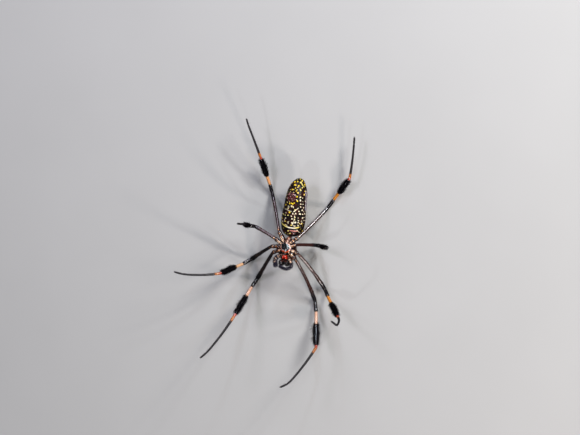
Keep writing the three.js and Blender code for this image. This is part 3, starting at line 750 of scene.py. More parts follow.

# %% [markdown]
# The colour of a leg changes in sharp bands from segment to segment, so the finish reads one number,
# the place along the leg, which runs from 0 at the coxa's root to 6 at the tip. The bands are stops
# of a ramp. The coxae have cream and orange patches on the belly side only, partly their own marks
# and partly painted highlights off the glossy shell; the patch at each femur's base is a painted
# highlight.

# %% Colours of the legs
BLACK = (0.006, 0.005, 0.007)
FEMUR_BROWN = (0.036, 0.009, 0.006)
FEMUR_DARK = (0.011, 0.006, 0.006)
COXA_BROWN = (0.018, 0.006, 0.006)
CREAM_MARK_AND_GLINT = (0.93, 0.78, 0.58)
ORANGE = (0.72, 0.22, 0.03)
JOINT_RED = (0.40, 0.05, 0.03)
FOOT_AMBER = (0.42, 0.13, 0.02)
PEACH = (0.66, 0.38, 0.25)
YELLOW_PEACH = (0.64, 0.38, 0.21)
BRIGHT_ORANGE = (0.80, 0.36, 0.13)
AMBER = (0.62, 0.22, 0.02)
LEG_COLOURS = {
    "leg_1_left": (FEMUR_DARK, PEACH, 3.33), "leg_1_right": (FEMUR_BROWN, PEACH, 3.34),
    "leg_2_left": (FEMUR_DARK, YELLOW_PEACH, 3.32), "leg_2_right": (FEMUR_BROWN, AMBER, 3.31),
    "leg_3_left": (FEMUR_BROWN, None, None), "leg_3_right": (FEMUR_BROWN, None, None),
    "leg_4_left": (FEMUR_BROWN, BRIGHT_ORANGE, 3.28), "leg_4_right": (FEMUR_BROWN, AMBER, 3.31),
}
SPAN = len(SEGMENTS)


def leg_stops(femur, band, black_from):
    """Colours along a leg: stops of place and colour. The tibia's band ends where its brush begins."""
    stops = [(0.0, COXA_BROWN), (0.98, COXA_BROWN), (1.03, femur), (1.72, femur), (1.84, BLACK)]
    if band:
        stops += [(2.99, BLACK), (3.005, band), (black_from, band), (black_from + 0.02, BLACK),
                  (3.945, BLACK), (3.96, JOINT_RED), (4.0, JOINT_RED), (4.03, FOOT_AMBER),
                  (4.12, FOOT_AMBER), (4.15, BLACK)]
    return [(place / SPAN, shade) for place, shade in stops + [(6.0, BLACK)]]


LEG_STOPS = {name: leg_stops(*colours) for name, colours in LEG_COLOURS.items()}
print("stops", {name: len(stops) for name, stops in LEG_STOPS.items()})

# %% Finish of the legs
BAND_WAVER = (0.5, 0.03)
PATCH_AND_GLINT_WINDOWS = ((0.04, 0.12, 0.58, 0.66), (0.73, 0.77, 0.9, 0.97), (1.0, 1.02, 1.05, 1.09))
SPARSE = {"leg_1_left": 0.03, "leg_2_left": 0.03}


def leg_bands(tree, stops):
    place = plus(tree, attribute(tree, "place"), waver(tree, *BAND_WAVER))
    return ramp(tree, maths(tree, "DIVIDE", place, SPAN), stops), place


def leg_finish(name, stops, sparse):
    """Banded shell, glossy to the tibia and matte from there on, with patches on the belly side that are
    partly marks and partly painted highlights.
    """
    material, tree, shader = finish(name, roughness=0.3, coat=0.8, specular=0.45)
    banded, place = leg_bands(tree, stops)
    mottle = step(tree, noise(tree, 0.35, detail=5), 0.4, 0.72)
    banded = mix(tree, times(tree, mottle, 0.2), banded, (0.05, 0.025, 0.03))
    bare = minus(tree, attribute(tree, "belly"), sparse)
    patchy = maths(tree, "MULTIPLY_ADD", noise(tree, 0.32, detail=1, roughness=0.5), 1.5, bare)
    # The patches on coxa and trochanter are partly marks and partly painted highlights; the window at the
    # femur's base holds painted highlight only.
    shown = in_windows(tree, place, PATCH_AND_GLINT_WINDOWS)
    banded = mix(tree, times(tree, step(tree, patchy, 1.68, 1.74), shown), banded, ORANGE)
    banded = mix(tree, times(tree, step(tree, patchy, 1.77, 1.83), shown), banded, CREAM_MARK_AND_GLINT)
    colour(tree, shader, banded)
    matte = step(tree, place, 3.98, 4.2)
    uneven = times(tree, noise(tree, 0.25, detail=2), 0.2)
    roughness = plus(tree, uneven, maths(tree, "MULTIPLY_ADD", matte, 0.4, 0.1))
    tree.links.new(roughness, shader.inputs["Roughness"])
    tree.links.new(maths(tree, "MULTIPLY_ADD", matte, -0.75, 0.8), shader.inputs["Coat Weight"])
    bump(tree, shader, noise(tree, 0.07, detail=4), 0.007, 0.7)
    return material


def hair_finish(name, stops):
    """Bristles take the bands of the skin under them."""
    material, tree, shader = finish(name, roughness=0.5, specular=0.06)
    banded, _ = leg_bands(tree, stops)
    pale = step(tree, noise(tree, 0.3, detail=2), 0.45, 0.75)
    colour(tree, shader, mix(tree, times(tree, pale, 0.12), banded, (0.04, 0.03, 0.03)))
    return material


# %% [markdown]
# Each leg gets one skin from the breastplate to the tip, swept from a circle, and it stands for all
# six solids of that leg. A second number says how far each point faces the belly side.

# %% Skins of the legs
LEG_SIDES = 20

for name, tube in tubes.items():
    mesh = bmesh.new()
    sweep(mesh, tube, LEG_SIDES)
    store_belly(mesh)
    nodes = [f"{name}_{part}" for part in SEGMENTS]
    material = leg_finish(name + "_shell", LEG_STOPS[name], SPARSE.get(name, 0))
    settle(mesh, name, material, nodes, keep_above_floor=True)

# %% [markdown]
# The brushes on the tibiae name this spider from a step away. Their black bristles rise at about
# forty degrees and bend towards the tip, dense near the shell and wispy outside. The left legs of
# pairs 1 and 2 have a brush along the femur too, and the right ones a weak one at its end. Everywhere
# else there is a thin coat of short bristles that lies along the leg.

# %% Brushes of the legs
BRUSHES = {
    "tibia": dict(on="tibia", share=(0.32, 0.93), count=2400,
                  length=(0.75, 1.36), lift=(0.4, 0.74), thick=0.028),
    "wisps": dict(on="tibia", share=(0.34, 0.93), count=800,
                  length=(1.1, 1.5), lift=(0.8, 1.1), thick=0.03),
    "femur": dict(on="femur", share=(0.1, 1.0), count=2600,
                  length=(0.45, 0.95), lift=(0.25, 0.5), thick=0.022, grow=1.6),
    "patella": dict(on="patella", share=(0.05, 0.95), count=420,
                    length=(0.3, 0.5), lift=(0.25, 0.45), thick=0.02),
    "weak_femur": dict(on="femur", share=(0.62, 0.98), count=700,
                       length=(0.35, 0.6), lift=(0.2, 0.45), thick=0.02),
    "small_tibia": dict(on="tibia", share=(0.05, 0.98), count=1300,
                        length=(0.5, 0.9), lift=(0.4, 0.7), thick=0.024),
}
BRUSHED = {
    "leg_1_left": ("tibia", "femur"), "leg_1_right": ("tibia", "weak_femur", "wisps"),
    "leg_2_left": ("tibia", "femur"), "leg_2_right": ("tibia", "weak_femur"),
    "leg_3_left": ("small_tibia",), "leg_3_right": ("small_tibia", "patella"),
    "leg_4_left": ("tibia",), "leg_4_right": ("tibia",),
}
BRUSH_PROFILE = ((0, 0.7), (0.12, 1), (0.5, 0.95), (1, 0.6))
PARTING = {"leg_1_right": 0.85}
LONG_SHARE, LONGER = 0.12, 1.3
TUFT_LENGTH, TUFT_LIFT = 0.25, 0.15
BRUSH_BACK = 0.03


def brush_bristles(name, tube, kind):
    """Distances, angles and sizes of one brush. Bristles flock to tufts, and one in eight is longer."""
    brush = BRUSHES[kind]
    segment = SEGMENTS.index(brush["on"])
    share = rng.uniform(*brush["share"], brush["count"])
    reach = reach_of(tube, segment + share - BRUSH_BACK)
    angle = rng.uniform(0, math.tau, brush["count"])
    if brush["on"] == "tibia" and name in PARTING:
        towards = on_tube(tube, reach, angle)[1] @ np.array(VIEW_BACK)
        keep = towards < math.cos(PARTING[name]) + rng.uniform(-0.03, 0.03, len(towards))
        reach, angle = reach[keep], angle[keep]
    count = len(reach)
    share = np.clip(between(tube, tube.place, reach) - segment, 0, 1)
    length = rng.uniform(*brush["length"], count)
    if "grow" in brush:
        length *= 0.3 + 0.7 * share ** brush["grow"]
    else:
        length *= read(BRUSH_PROFILE, (share - brush["share"][0]) / np.ptp(brush["share"]))
    length *= np.where(rng.uniform(0, 1, count) < LONG_SHARE, LONGER, 1.0)
    tuft = np.sin(3 * angle + 4.1 * reach) * np.sin(2.3 * reach + 2 * angle)
    length *= 1 + TUFT_LENGTH * tuft
    lift = rng.uniform(*brush["lift"], count) * (1 + TUFT_LIFT * tuft)
    thick = brush["thick"] * rng.uniform(0.7, 1.1, count)
    return reach, angle, length, lift, thick


# %% Coats of the legs
SHORT_PER_MM = 50
SHORT_SIZES = ((0.22, 0.5), (0.12, 0.45), (0.010, 0.018))
BAND_EDGE = 0.04

for name, tube in tubes.items():
    hair = hair_finish(name + "_hair", LEG_STOPS[name])
    parts = [brush_bristles(name, tube, kind) for kind in BRUSHED[name]]
    reach, angle, *sizes = [np.concatenate(values) for values in zip(*parts)]
    place = between(tube, tube.place, reach)
    black_from = LEG_COLOURS[name][2]
    if black_from:
        on_tibia = place > SEGMENTS.index("tibia")
        place = np.where(on_tibia, np.maximum(place, black_from + BAND_EDGE), place)
    plant(f"{name}_brush", LONG, tube, reach, angle, sizes, hair, "leg_banded", place=place)
    span = tube.reach[-1] - reach_of(tube, 0.7)
    count = int(span * SHORT_PER_MM)
    reach = tube.reach[-1] - rng.uniform(0, span, count)
    angle = rng.uniform(0, math.tau, count)
    plant(f"{name}_coat", SHORT, tube, reach, angle, draw_sizes(count, *SHORT_SIZES), hair, "leg_banded")

# %% [markdown]
# Each foot ends in two combed claws and a smaller hooked one between them, with which the spider
# takes hold. They are thin curved horns, swept along a short arc.

# %% Claws
HORN_STATIONS = 7
CLAW = SimpleNamespace(length=0.34, radius=0.045, hook=0.55, spread=0.7, apart=0.12, inside=0.1)
CLAWS = ((-0.5, 1.0), (0.5, 1.0), (0.0, 0.7))


def horn(mesh, root, way, towards, length, radius, hook, sides=6):
    """A tapered horn that leaves root along way and hooks towards another direction."""
    shares = np.linspace(0, 1, HORN_STATIONS)
    centres = [root + way * length * s + towards * length * hook * s ** 2 for s in shares]
    radii = [radius * (1 - s) ** 0.7 for s in shares]
    sweep(mesh, make_tube(centres, radii, shares, first_side=way.cross(towards).normalized()), sides)


claw_shell = mottled("claw_shell", 0.1, (0.012, 0.008, 0.010), (0.10, 0.045, 0.02), relief=(0.03, 0.01),
                     roughness=0.25, coat=0.3)
claws = bmesh.new()
for tube in tubes.values():
    tip = Vector(tube.centre[-1])
    way, side, over = (Vector(row[-1]) for row in (tube.along, tube.side, tube.over))
    down = over if over.z < 0 else -over
    for across, size in CLAWS:
        aim = (way + side * across * CLAW.spread).normalized()
        root = tip - way * CLAW.inside + side * across * CLAW.apart
        horn(claws, root, aim, -down, CLAW.length * size, CLAW.radius, CLAW.hook)
settle(claws, "claws", claw_shell, keep_above_floor=True)

# %% [markdown]
# The abdomen is one soft sac. Its line and radii are those of the solid. Its pattern follows the
# body, so the mesh carries flat coordinates on the skin in millimetres: how far along it a point
# lies, and how far across from the middle line of the belly, which turns a little along the body.

# %% Form of the abdomen
ABDOMEN_LINE = ((0.32, 2.7, -2.95), (0.22, 6, -3.05), (0.15, 12, -3.05), (0.1, 16.3, -3.6),
                (0.1, 19.0, -4.5))
ABDOMEN_RADII = ((0, 0), (0.2, 1.25), (0.9, 2.45), (2.4, 3.12), (4.6, 3.4), (8, 3.2), (11.6, 2.95),
                 (13.5, 2.6), (15.2, 1.85), (16.3, 1.0), (16.75, 0))
ABDOMEN_SIDES = 96
ABDOMEN_RINGS = 150
STEPS_BETWEEN = 40


def smooth_through(points, count):
    """A smooth curve through a few points, as many points as asked for, evenly spaced."""
    points = np.array(points, float)
    first, last = 2 * points[0] - points[1], 2 * points[-1] - points[-2]
    padded = np.vstack([first, points, last])
    fine = []
    for a, b, c, d in zip(padded, padded[1:], padded[2:], padded[3:]):
        for t in np.linspace(0, 1, STEPS_BETWEEN, endpoint=False):
            fine.append(0.5 * (2 * b + (c - a) * t + (2 * a - 5 * b + 4 * c - d) * t ** 2
                               + (3 * b - 3 * c + d - a) * t ** 3))
    fine = np.vstack([fine, points[-1]])
    gone = distances_along(fine)
    at = np.linspace(0, gone[-1], count)
    return np.stack([np.interp(at, gone, fine[:, k]) for k in range(points.shape[1])], axis=1)


def line_at(line, reach):
    """Points of a fine line at distances along it, and straight on past its end."""
    gone = distances_along(line)
    on = np.stack([np.interp(reach, gone, line[:, k]) for k in range(3)], axis=1)
    way = (line[-1] - line[-2]) / np.linalg.norm(line[-1] - line[-2])
    return on + np.maximum(reach - gone[-1], 0)[:, None] * way


abdomen_profile = smooth_through(ABDOMEN_RADII, ABDOMEN_RINGS)
abdomen_line = smooth_through(ABDOMEN_LINE, 400)
abdomen_tube = make_tube(line_at(abdomen_line, abdomen_profile[:, 0]), abdomen_profile[:, 1],
                         abdomen_profile[:, 0], first_side=Vector((-1, 0, 0)))
print("abdomen", round(abdomen_tube.reach[-1], 2), "mm long")
print("widest", round(2 * abdomen_tube.radius.max(), 2), "mm")

# %% Places on the abdomen
BELLY_TURN = ((0.8, 36), (1.6, 33), (3, 24), (6.8, 23), (11.1, -6), (16.7, -8))
THINNEST = 1.2
FAR = 9.0


def abdomen_place(along, turn):
    """The point, the way out and the way back at a turn in degrees from straight up to +X."""
    along = np.atleast_1d(np.array(along, float))
    turn = np.radians(np.atleast_1d(np.array(turn, float)))
    return on_tube(abdomen_tube, reach_of(abdomen_tube, along), math.pi / 2 + turn)


def flat_place(along, turn):
    """Along and across in millimetres on the flattened skin."""
    along = np.asarray(along, float)
    radius = np.maximum(np.interp(along, abdomen_tube.place, abdomen_tube.radius), THINNEST)
    across = np.radians(np.asarray(turn, float) - read(BELLY_TURN, along)) * radius
    return np.stack([along, across], axis=-1)


def distance_to_path(points, path):
    """Distance of each flat point to the nearest stretch of a path of (along, turn)."""
    path = flat_place(*zip(*path))
    best = np.full(len(points), FAR)
    for a, b in zip(path, path[1:]):
        run = b - a
        share = np.clip(((points - a) @ run) / max(run @ run, 1e-9), 0, 1)
        best = np.minimum(best, np.linalg.norm(points - a - share[:, None] * run, axis=1))
    return best


# %% [markdown]
# The belly's marks are a yellow line across behind the lungs, pale streaks in front of the
# spinnerets, and rows of small yellow and cream spots on a black-brown ground. Streaks and single
# spots are stored on the mesh as the distance to the nearest one, which a finish turns into a crisp
# edge whatever the mesh.

# %% Marks of the abdomen
STREAKS = (
    ((7.8, -29), (7.42, -8), (7.35, 5)),
    ((7.35, 16), (8.1, 30), (8.5, 38)),
    ((6.8, 24), (5.4, 23.5), (4.4, 23.5), (3.8, 17), (3.3, 26)),
    ((5.0, -27), (4.3, -27)),
    ((4.6, -2), (3.9, -3)),
    ((2.2, 104), (1.5, 100)),
    ((3.3, 62), (2.6, 66)), ((4.6, 68), (4.0, 60)),
    ((15.3, 27), (14.9, 40), (14.4, 50), (14.2, 62)),
    ((2.35, 40), (1.75, 60), (1.35, 80)),
)
# A pale lilac streak along the right rim of the sac is a painted highlight, where light catches its edge.
PAINTED_RIM_HIGHLIGHT = ((13.2, 76), (12.3, 82), (11.2, 85), (10.2, 87), (9.0, 88), (8.0, 88))
DOTS = (
    (1.7, -2, 0.2), (0.96, -26, 0.17), (1.0, 9, 0.2), (2.27, -34, 0.15), (2.0, 95, 0.36),
    (0.75, -8, 0.12), (9.45, -3, 0.18), (9.3, 5, 0.22), (9.6, 13, 0.18), (9.3, -12, 0.2),
    (8.7, 3, 0.15), (10.2, 27, 0.22), (11.3, 22, 0.22), (14.2, -10, 0.22), (12.9, -14, 0.2),
    (14.1, 20, 0.22), (12.7, 11, 0.18), (13.4, 3, 0.16), (13.3, 34, 0.16), (16.1, 54, 0.2),
    (15.1, 84, 0.2), (15.1, 3, 0.2), (16.1, 20, 0.18), (4.25, 53, 0.18), (4.2, 66, 0.2),
    (3.4, 78, 0.24), (2.6, 66, 0.14),
)
FURROW = SimpleNamespace(along=2.68, bend=0.00025, middle=13)

abdomen = bmesh.new()
sweep(abdomen, abdomen_tube, ABDOMEN_SIDES)
place_layer, angle_layer = (abdomen.verts.layers.float[title] for title in ("place", "angle"))
along = np.array([vertex[place_layer] for vertex in abdomen.verts])
turn = np.degrees([vertex[angle_layer] for vertex in abdomen.verts]) - 90
turn = (turn - read(BELLY_TURN, along) + 180) % 360 - 180 + read(BELLY_TURN, along)
flat = flat_place(along, turn)
streak = np.min([distance_to_path(flat, path) for path in STREAKS], axis=0)
dots = np.max([radius - np.linalg.norm(flat - flat_place(dot_along, dot_turn), axis=1)
               for dot_along, dot_turn, radius in DOTS], axis=0)
furrow = along - (FURROW.along + FURROW.bend * (turn - FURROW.middle) ** 2)
store(abdomen, across=flat[:, 1], streak=streak, furrow=furrow, turn=turn, dots=dots,
      lilac=distance_to_path(flat, PAINTED_RIM_HIGHLIGHT))
print("marks", len(STREAKS) + 1, "streaks and", len(DOTS), "single spots")

# %% [markdown]
# The other spots are cells of a Voronoi pattern on the flat coordinates: each cell's middle is a spot,
# and the cell's own random colour decides how large, how yellow and whether it is there at all.

# %% Pattern of the abdomen
YELLOW = (0.88, 0.60, 0.012)
PALE_YELLOW = (0.90, 0.76, 0.22)
WHITE_CREAM = (0.92, 0.82, 0.58)
LINE_YELLOW, LINE_CREAM = (0.92, 0.74, 0.16), (0.93, 0.86, 0.66)
GROUND = (0.003, 0.002, 0.002)
GROUND_BROWN = (0.040, 0.007, 0.005)
OLIVE = (0.17, 0.115, 0.03)
PALE_OLIVE = (0.30, 0.21, 0.06)
SPOT_STEP = 0.88
SPOT_RANDOM = 0.55
SPOT_SIZE, SIZE_SPREAD = 0.15, 0.12
SQUEEZE, SHIFT = 0.86, 40.0
WOBBLE, WOBBLE_SCALE = 0.5, 2.2

abdomen_skin, tree, shader = finish("abdomen_skin", roughness=0.33, specular=0.2)
along_mm, across_mm, turn_value, furrow_value = (
    attribute(tree, title) for title in ("place", "across", "turn", "furrow"))
squeezed, shifted = times(tree, across_mm, SQUEEZE), plus(tree, along_mm, SHIFT)
flat_vector = node(tree, "CombineXYZ", {"X": squeezed, "Y": shifted}).outputs[0]
wobble = node(tree, "TexNoise", {"Vector": flat_vector, "Scale": WOBBLE_SCALE}).outputs["Color"]
wobble = node(tree, "VectorMath", {0: wobble, 1: (-0.5, -0.5, -0.5)}).outputs[0]
wobbly = node(tree, "VectorMath", {0: wobble, 1: (WOBBLE,) * 3, 2: flat_vector}, operation="MULTIPLY_ADD")
cells = {"Vector": wobbly.outputs[0], "Scale": 1 / SPOT_STEP, "Randomness": SPOT_RANDOM}
cells = node(tree, "TexVoronoi", cells, voronoi_dimensions="2D")
draw = node(tree, "SeparateColor", {0: cells.outputs["Color"]}).outputs
spot_size = plus(tree, SPOT_SIZE, times(tree, draw[0], SIZE_SPREAD))
spot = step(tree, minus(tree, spot_size, cells.outputs["Distance"]), -0.02, 0.04)
spot = times(tree, spot, step(tree, draw[1], 0.1, 0.16))
spot = times(tree, spot, step(tree, furrow_value, 0.25, 0.45))

# %% Ground and spots
blur = noise(tree, 1.1, detail=2, vector=flat_vector)
ground = mix(tree, step(tree, blur, 0.45, 0.68), GROUND, GROUND_BROWN)
dorsal = step(tree, maths(tree, "ABSOLUTE", minus(tree, turn_value, 8.0)), 92, 125)
ground = mix(tree, dorsal, ground, mix(tree, step(tree, blur, 0.4, 0.7), OLIVE, PALE_OLIVE))
warm = step(tree, plus(tree, times(tree, across_mm, -0.12), draw[2]), 0.6, 1.1)
tail = step(tree, along_mm, 10.5, 13)
yellows = mix(tree, step(tree, draw[0], 0.3, 0.8), PALE_YELLOW, YELLOW)
spot_colour = mix(tree, larger(tree, warm, tail), WHITE_CREAM, yellows)
grainy = step(tree, noise(tree, 0.14, detail=2, vector=flat_vector), 0.52, 0.7)
spot_colour = mix(tree, times(tree, grainy, 0.35), spot_colour, (0.42, 0.20, 0.02))
skin_colour = mix(tree, spot, ground, spot_colour)

# %% Streaks, single spots and the yellow line
ragged = waver(tree, 0.35, 0.3, detail=2, vector=flat_vector)
streaks = step(tree, plus(tree, attribute(tree, "streak"), ragged), 0.13, 0.05)
skin_colour = mix(tree, streaks, skin_colour, mix(tree, tail, WHITE_CREAM, PALE_YELLOW))
# Painted highlight: the pale lilac streak along the right rim.
lilac = step(tree, plus(tree, attribute(tree, "lilac"), times(tree, ragged, 2)), 0.34, 0.06)
skin_colour = mix(tree, times(tree, lilac, 0.8), skin_colour, (0.55, 0.50, 0.60))
dotted = step(tree, minus(tree, attribute(tree, "dots"), times(tree, ragged, 0.6)), -0.03, 0.04)
golden = larger(tree, step(tree, along_mm, 8.3, 8.5), step(tree, turn_value, 50, 60))
skin_colour = mix(tree, dotted, skin_colour, mix(tree, golden, PALE_YELLOW, YELLOW))
black_band = in_windows(tree, furrow_value, [(-0.75, -0.55, -0.25, -0.05)])
skin_colour = mix(tree, black_band, skin_colour, (0.004, 0.003, 0.003))
off_line = plus(tree, maths(tree, "ABSOLUTE", furrow_value), times(tree, ragged, 0.4))
line_reach = in_windows(tree, turn_value, [(-62, -48, 48, 60)])
yellow_line = times(tree, step(tree, off_line, 0.21, 0.12), line_reach)
middle = step(tree, maths(tree, "ABSOLUTE", minus(tree, turn_value, 12.0)), 34, 8)
skin_colour = mix(tree, yellow_line, skin_colour, mix(tree, middle, LINE_YELLOW, LINE_CREAM))
colour(tree, shader, skin_colour)
relief = times(tree, plus(tree, spot, yellow_line), 0.6)
relief = plus(tree, relief, times(tree, noise(tree, 0.12, detail=3), 0.7))
bump(tree, shader, relief, 0.05, 0.8)
settle(abdomen, "abdomen", abdomen_skin, ["abdomen"])

# %% [markdown]
# The spots cover the whole sac, but two lung covers and the plate of the genital opening sit in front
# of the yellow line, on the dark front of the belly. The plate is a low dark hump with a pink-red lip,
# so it is its own small piece. It stands on the same flat coordinates as the marks.


# %% Plate of the genital opening
def egg(mesh, centre, halves, turn=None, sides=32):
    """An ellipsoid at a place, turned by a matrix round its own middle."""
    made = bmesh.ops.create_uvsphere(mesh, u_segments=sides, v_segments=sides // 2, radius=1.0)["verts"]
    turn = turn or Matrix.Identity(4)
    bmesh.ops.transform(mesh, verts=made,
                        matrix=Matrix.Translation(Vector(centre)) @ turn @ Matrix.Diagonal((*halves, 1)))
    return made


def upright(out, ahead):
    """Axes with Z along out and Y as near as it gets to ahead."""
    out = Vector(out).normalized()
    side = Vector(ahead).cross(out).normalized()
    return Matrix((side, out.cross(side), out)).transposed().to_4x4()


def on_belly(along, turn, lift=0.0):
    point, out, back = (Vector(row[0]) for row in abdomen_place(along, turn))
    return point + out * lift, out, back


PLATE_HUMPS = ((1.3, 22, -0.22, (0.36, 0.3, 0.36)), (1.3, 38, -0.22, (0.36, 0.3, 0.36)),
               (1.1, 30, -0.28, (0.8, 0.42, 0.42)))
plate_finish, tree, shader = finish("genital_plate_shell", roughness=0.25, coat=0.4)
plate_red = step(tree, noise(tree, 0.4), 0.4, 0.65)
colour(tree, shader, mix(tree, plate_red, (0.010, 0.004, 0.004), (0.13, 0.016, 0.010)))
bump(tree, shader, noise(tree, 0.12), 0.03)
plate = bmesh.new()
for along_at, turn_at, lift, halves in PLATE_HUMPS:
    at, out, back = on_belly(along_at, turn_at, lift)
    egg(plate, at, halves, upright(out, back))
settle(plate, "genital_plate", plate_finish)

# %% Lip of the genital opening
LIP_ALONG, LIP_FROM, LIP_STEP = 1.8, 3, 6.5
LIP_POINTS = 9
LIP_STATIONS = 25
LIP_RADIUS = 0.19
lip_shell = mottled("genital_lip_shell", 0.3, (0.40, 0.09, 0.07), (0.62, 0.27, 0.21), relief=(0.12, 0.03),
                    roughness=0.3, coat=0.3)
lip_at = [on_belly(LIP_ALONG + 0.02 * abs(k - LIP_POINTS // 2), LIP_FROM + LIP_STEP * k, 0.02)[0]
          for k in range(LIP_POINTS)]
lip_radii = LIP_RADIUS * np.sin(np.linspace(0.12, math.pi - 0.12, LIP_STATIONS)) ** 0.5
lip_line = smooth_through(lip_at, LIP_STATIONS)
lip = bmesh.new()
sweep(lip, make_tube(lip_line, lip_radii, np.linspace(0, 1, LIP_STATIONS)), 12)
settle(lip, "genital_lip", lip_shell)

# %% [markdown]
# The front body is one shell: a domed back with a raised head, a furrow between them and a pit in the
# middle, and under it the breastplate on a column that the legs join. It is a blend of three round
# forms and that column, found by casting every corner of a ball outward onto their common surface.

# %% Forms of the front body
CARAPACE = SimpleNamespace(half_width=2.75, half_length=3.1, depth=2.1, height=0.42,
                           centre_y=-1.4, rim=-2.0)
HEAD = SimpleNamespace(half_width=1.65, half_length=1.7, depth=1.7, height=0.9,
                       centre_y=-3.05, centre_z=-2.55)
REAR = SimpleNamespace(centre=(0.15, 1.35, -1.85), halves=(1.35, 1.05, 0.85))
HUMPS = ((0.5, 0.35, 0.22), (0.62, -0.3, 0.2), (0.25, -0.75, 0.2), (-0.15, -0.2, 0.24), (0.1, 0.75, 0.2),
         (-0.6, -0.7, 0.18))
PIT_Y = -0.35
BLEND = 0.12


def outside_ellipsoid(p, centre, halves):
    """Roughly how far points lie outside an ellipsoid, in millimetres."""
    scaled = (p - centre) / halves
    near = np.linalg.norm(scaled, axis=1)
    steep = np.linalg.norm(scaled / halves, axis=1)
    return near * (near - 1) / np.maximum(steep, 1e-6)


def outside_dome(p, form, centre_z):
    """The same for a form that is deeper on its back than on its belly side."""
    halves = np.stack([np.full(len(p), form.half_width), np.full(len(p), form.half_length),
                       np.where(p[:, 2] < centre_z, form.depth, form.height)], axis=1)
    return outside_ellipsoid(p, (0, form.centre_y, centre_z), halves)


def soft_min(values, width):
    return -width * np.log(sum(np.exp(-value / width) for value in values))


def plate_distance(x, y):
    """How far inside the breastplate's shield outline a point lies, in millimetres."""
    down = y - BREASTPLATE.centre_y
    narrow = 1 - 0.16 * np.clip(down / BREASTPLATE.half_length, 0, 1) ** 2
    scallop = 1 + 0.03 * np.cos(8 * np.arctan2(down, x))
    share = np.hypot(x / (BREASTPLATE.half_width * narrow), down / BREASTPLATE.half_length) / scallop
    return (1 - share) * BREASTPLATE.half_width


def groove_distance(x, y):
    """How far a point lies from the furrow between head and back."""
    return np.abs(np.hypot(x / 1.75, (y + 3.2) / 2.2) - 1) * 1.8


def plate_top(x, y):
    """How far the breastplate's top lies below its highest place, with its humps."""
    edge = plate_distance(x, y)
    turn = np.arctan2(y + 0.2, x)
    hump = 0.09 * np.exp(-((edge - 0.42) / 0.2) ** 2) * (0.5 + 0.5 * np.cos(8 * turn))
    for hump_x, hump_y, size in HUMPS:
        hump += 0.45 * size * np.exp(-((x - hump_x) ** 2 + (y - hump_y) ** 2) / size ** 2)
    return 0.30 * np.clip(1 - edge / 0.75, 0, 2) ** 2 + 0.11 - hump


def front_body(p):
    """Negative inside the front body and positive outside it."""
    x, y, z = p.T
    forms = [outside_dome(p, CARAPACE, CARAPACE.rim), outside_dome(p, HEAD, HEAD.centre_z),
             outside_ellipsoid(p, REAR.centre, REAR.halves)]
    pit = np.exp(-(x / 0.42) ** 2 - ((y - PIT_Y) / 0.2) ** 2)
    dorsal = np.clip((CARAPACE.rim - z) / 0.8, 0, 1)
    marks = dorsal * (0.13 * np.exp(-(groove_distance(x, y) / 0.2) ** 2) + 0.22 * pit)
    column = np.maximum(-plate_distance(x, y) - 0.02, z + plate_top(x, y))
    return np.minimum(soft_min(forms, BLEND) + marks, np.where(z > CARAPACE.rim, column, FAR))


# %% Skin of the front body
CAST_FROM = np.array((0, -1.5, -2.1))
CAST_REACH = 5.0
CAST_HALVINGS = 22
PLATE_Z = -0.75


def soften(mesh, factor):
    bmesh.ops.smooth_vert(mesh, verts=mesh.verts, factor=factor,
                          use_axis_x=True, use_axis_y=True, use_axis_z=True)


thorax = bmesh.new()
bmesh.ops.create_icosphere(thorax, subdivisions=7, radius=1.0)
rays = np.array([vertex.co[:] for vertex in thorax.verts])
inner, outer = np.zeros(len(rays)), np.full(len(rays), CAST_REACH)
for _ in range(CAST_HALVINGS):
    middle = (inner + outer) / 2
    out_there = front_body(CAST_FROM + rays * middle[:, None]) > 0
    outer = np.where(out_there, middle, outer)
    inner = np.where(out_there, inner, middle)
skin_points = CAST_FROM + rays * inner[:, None]
x, y, z = skin_points.T
store(thorax, plate=np.where(z > PLATE_Z, plate_distance(x, y), -1.0), front=y, back=z,
      dark=1 - np.hypot((x + 0.42) / 0.86, (y - 0.12) / 1.2))
for vertex, point in zip(thorax.verts, skin_points):
    vertex.co = point
soften(thorax, 0.4)
thorax.normal_update()
carapace_faces = [face for face in thorax.faces if face.calc_center_median().z < CARAPACE.rim - 0.1]
carapace_spots = np.array([face.calc_center_median()[:] for face in carapace_faces])
carapace_outs = np.array([face.normal[:] for face in carapace_faces])
bmesh.ops.transform(thorax, matrix=TO_HEAD, verts=thorax.verts)
print("front body", len(thorax.faces), "faces, of them on the back", len(carapace_faces))

# %% Finish of the front body
MEMBRANE, MEMBRANE_RED = (0.008, 0.004, 0.004), (0.07, 0.020, 0.012)
MARGIN_TAN, MARGIN_RED, MARGIN_PALE = (0.50, 0.22, 0.15), (0.66, 0.09, 0.02), (0.80, 0.62, 0.54)
PLATE_BLACK, PLATE_PAINTED_GLINT, PLATE_RED = (0.008, 0.006, 0.008), (0.46, 0.57, 0.60), (0.45, 0.05, 0.02)
BACK_DARK, BACK_BROWN = (0.03, 0.014, 0.010), (0.12, 0.07, 0.045)

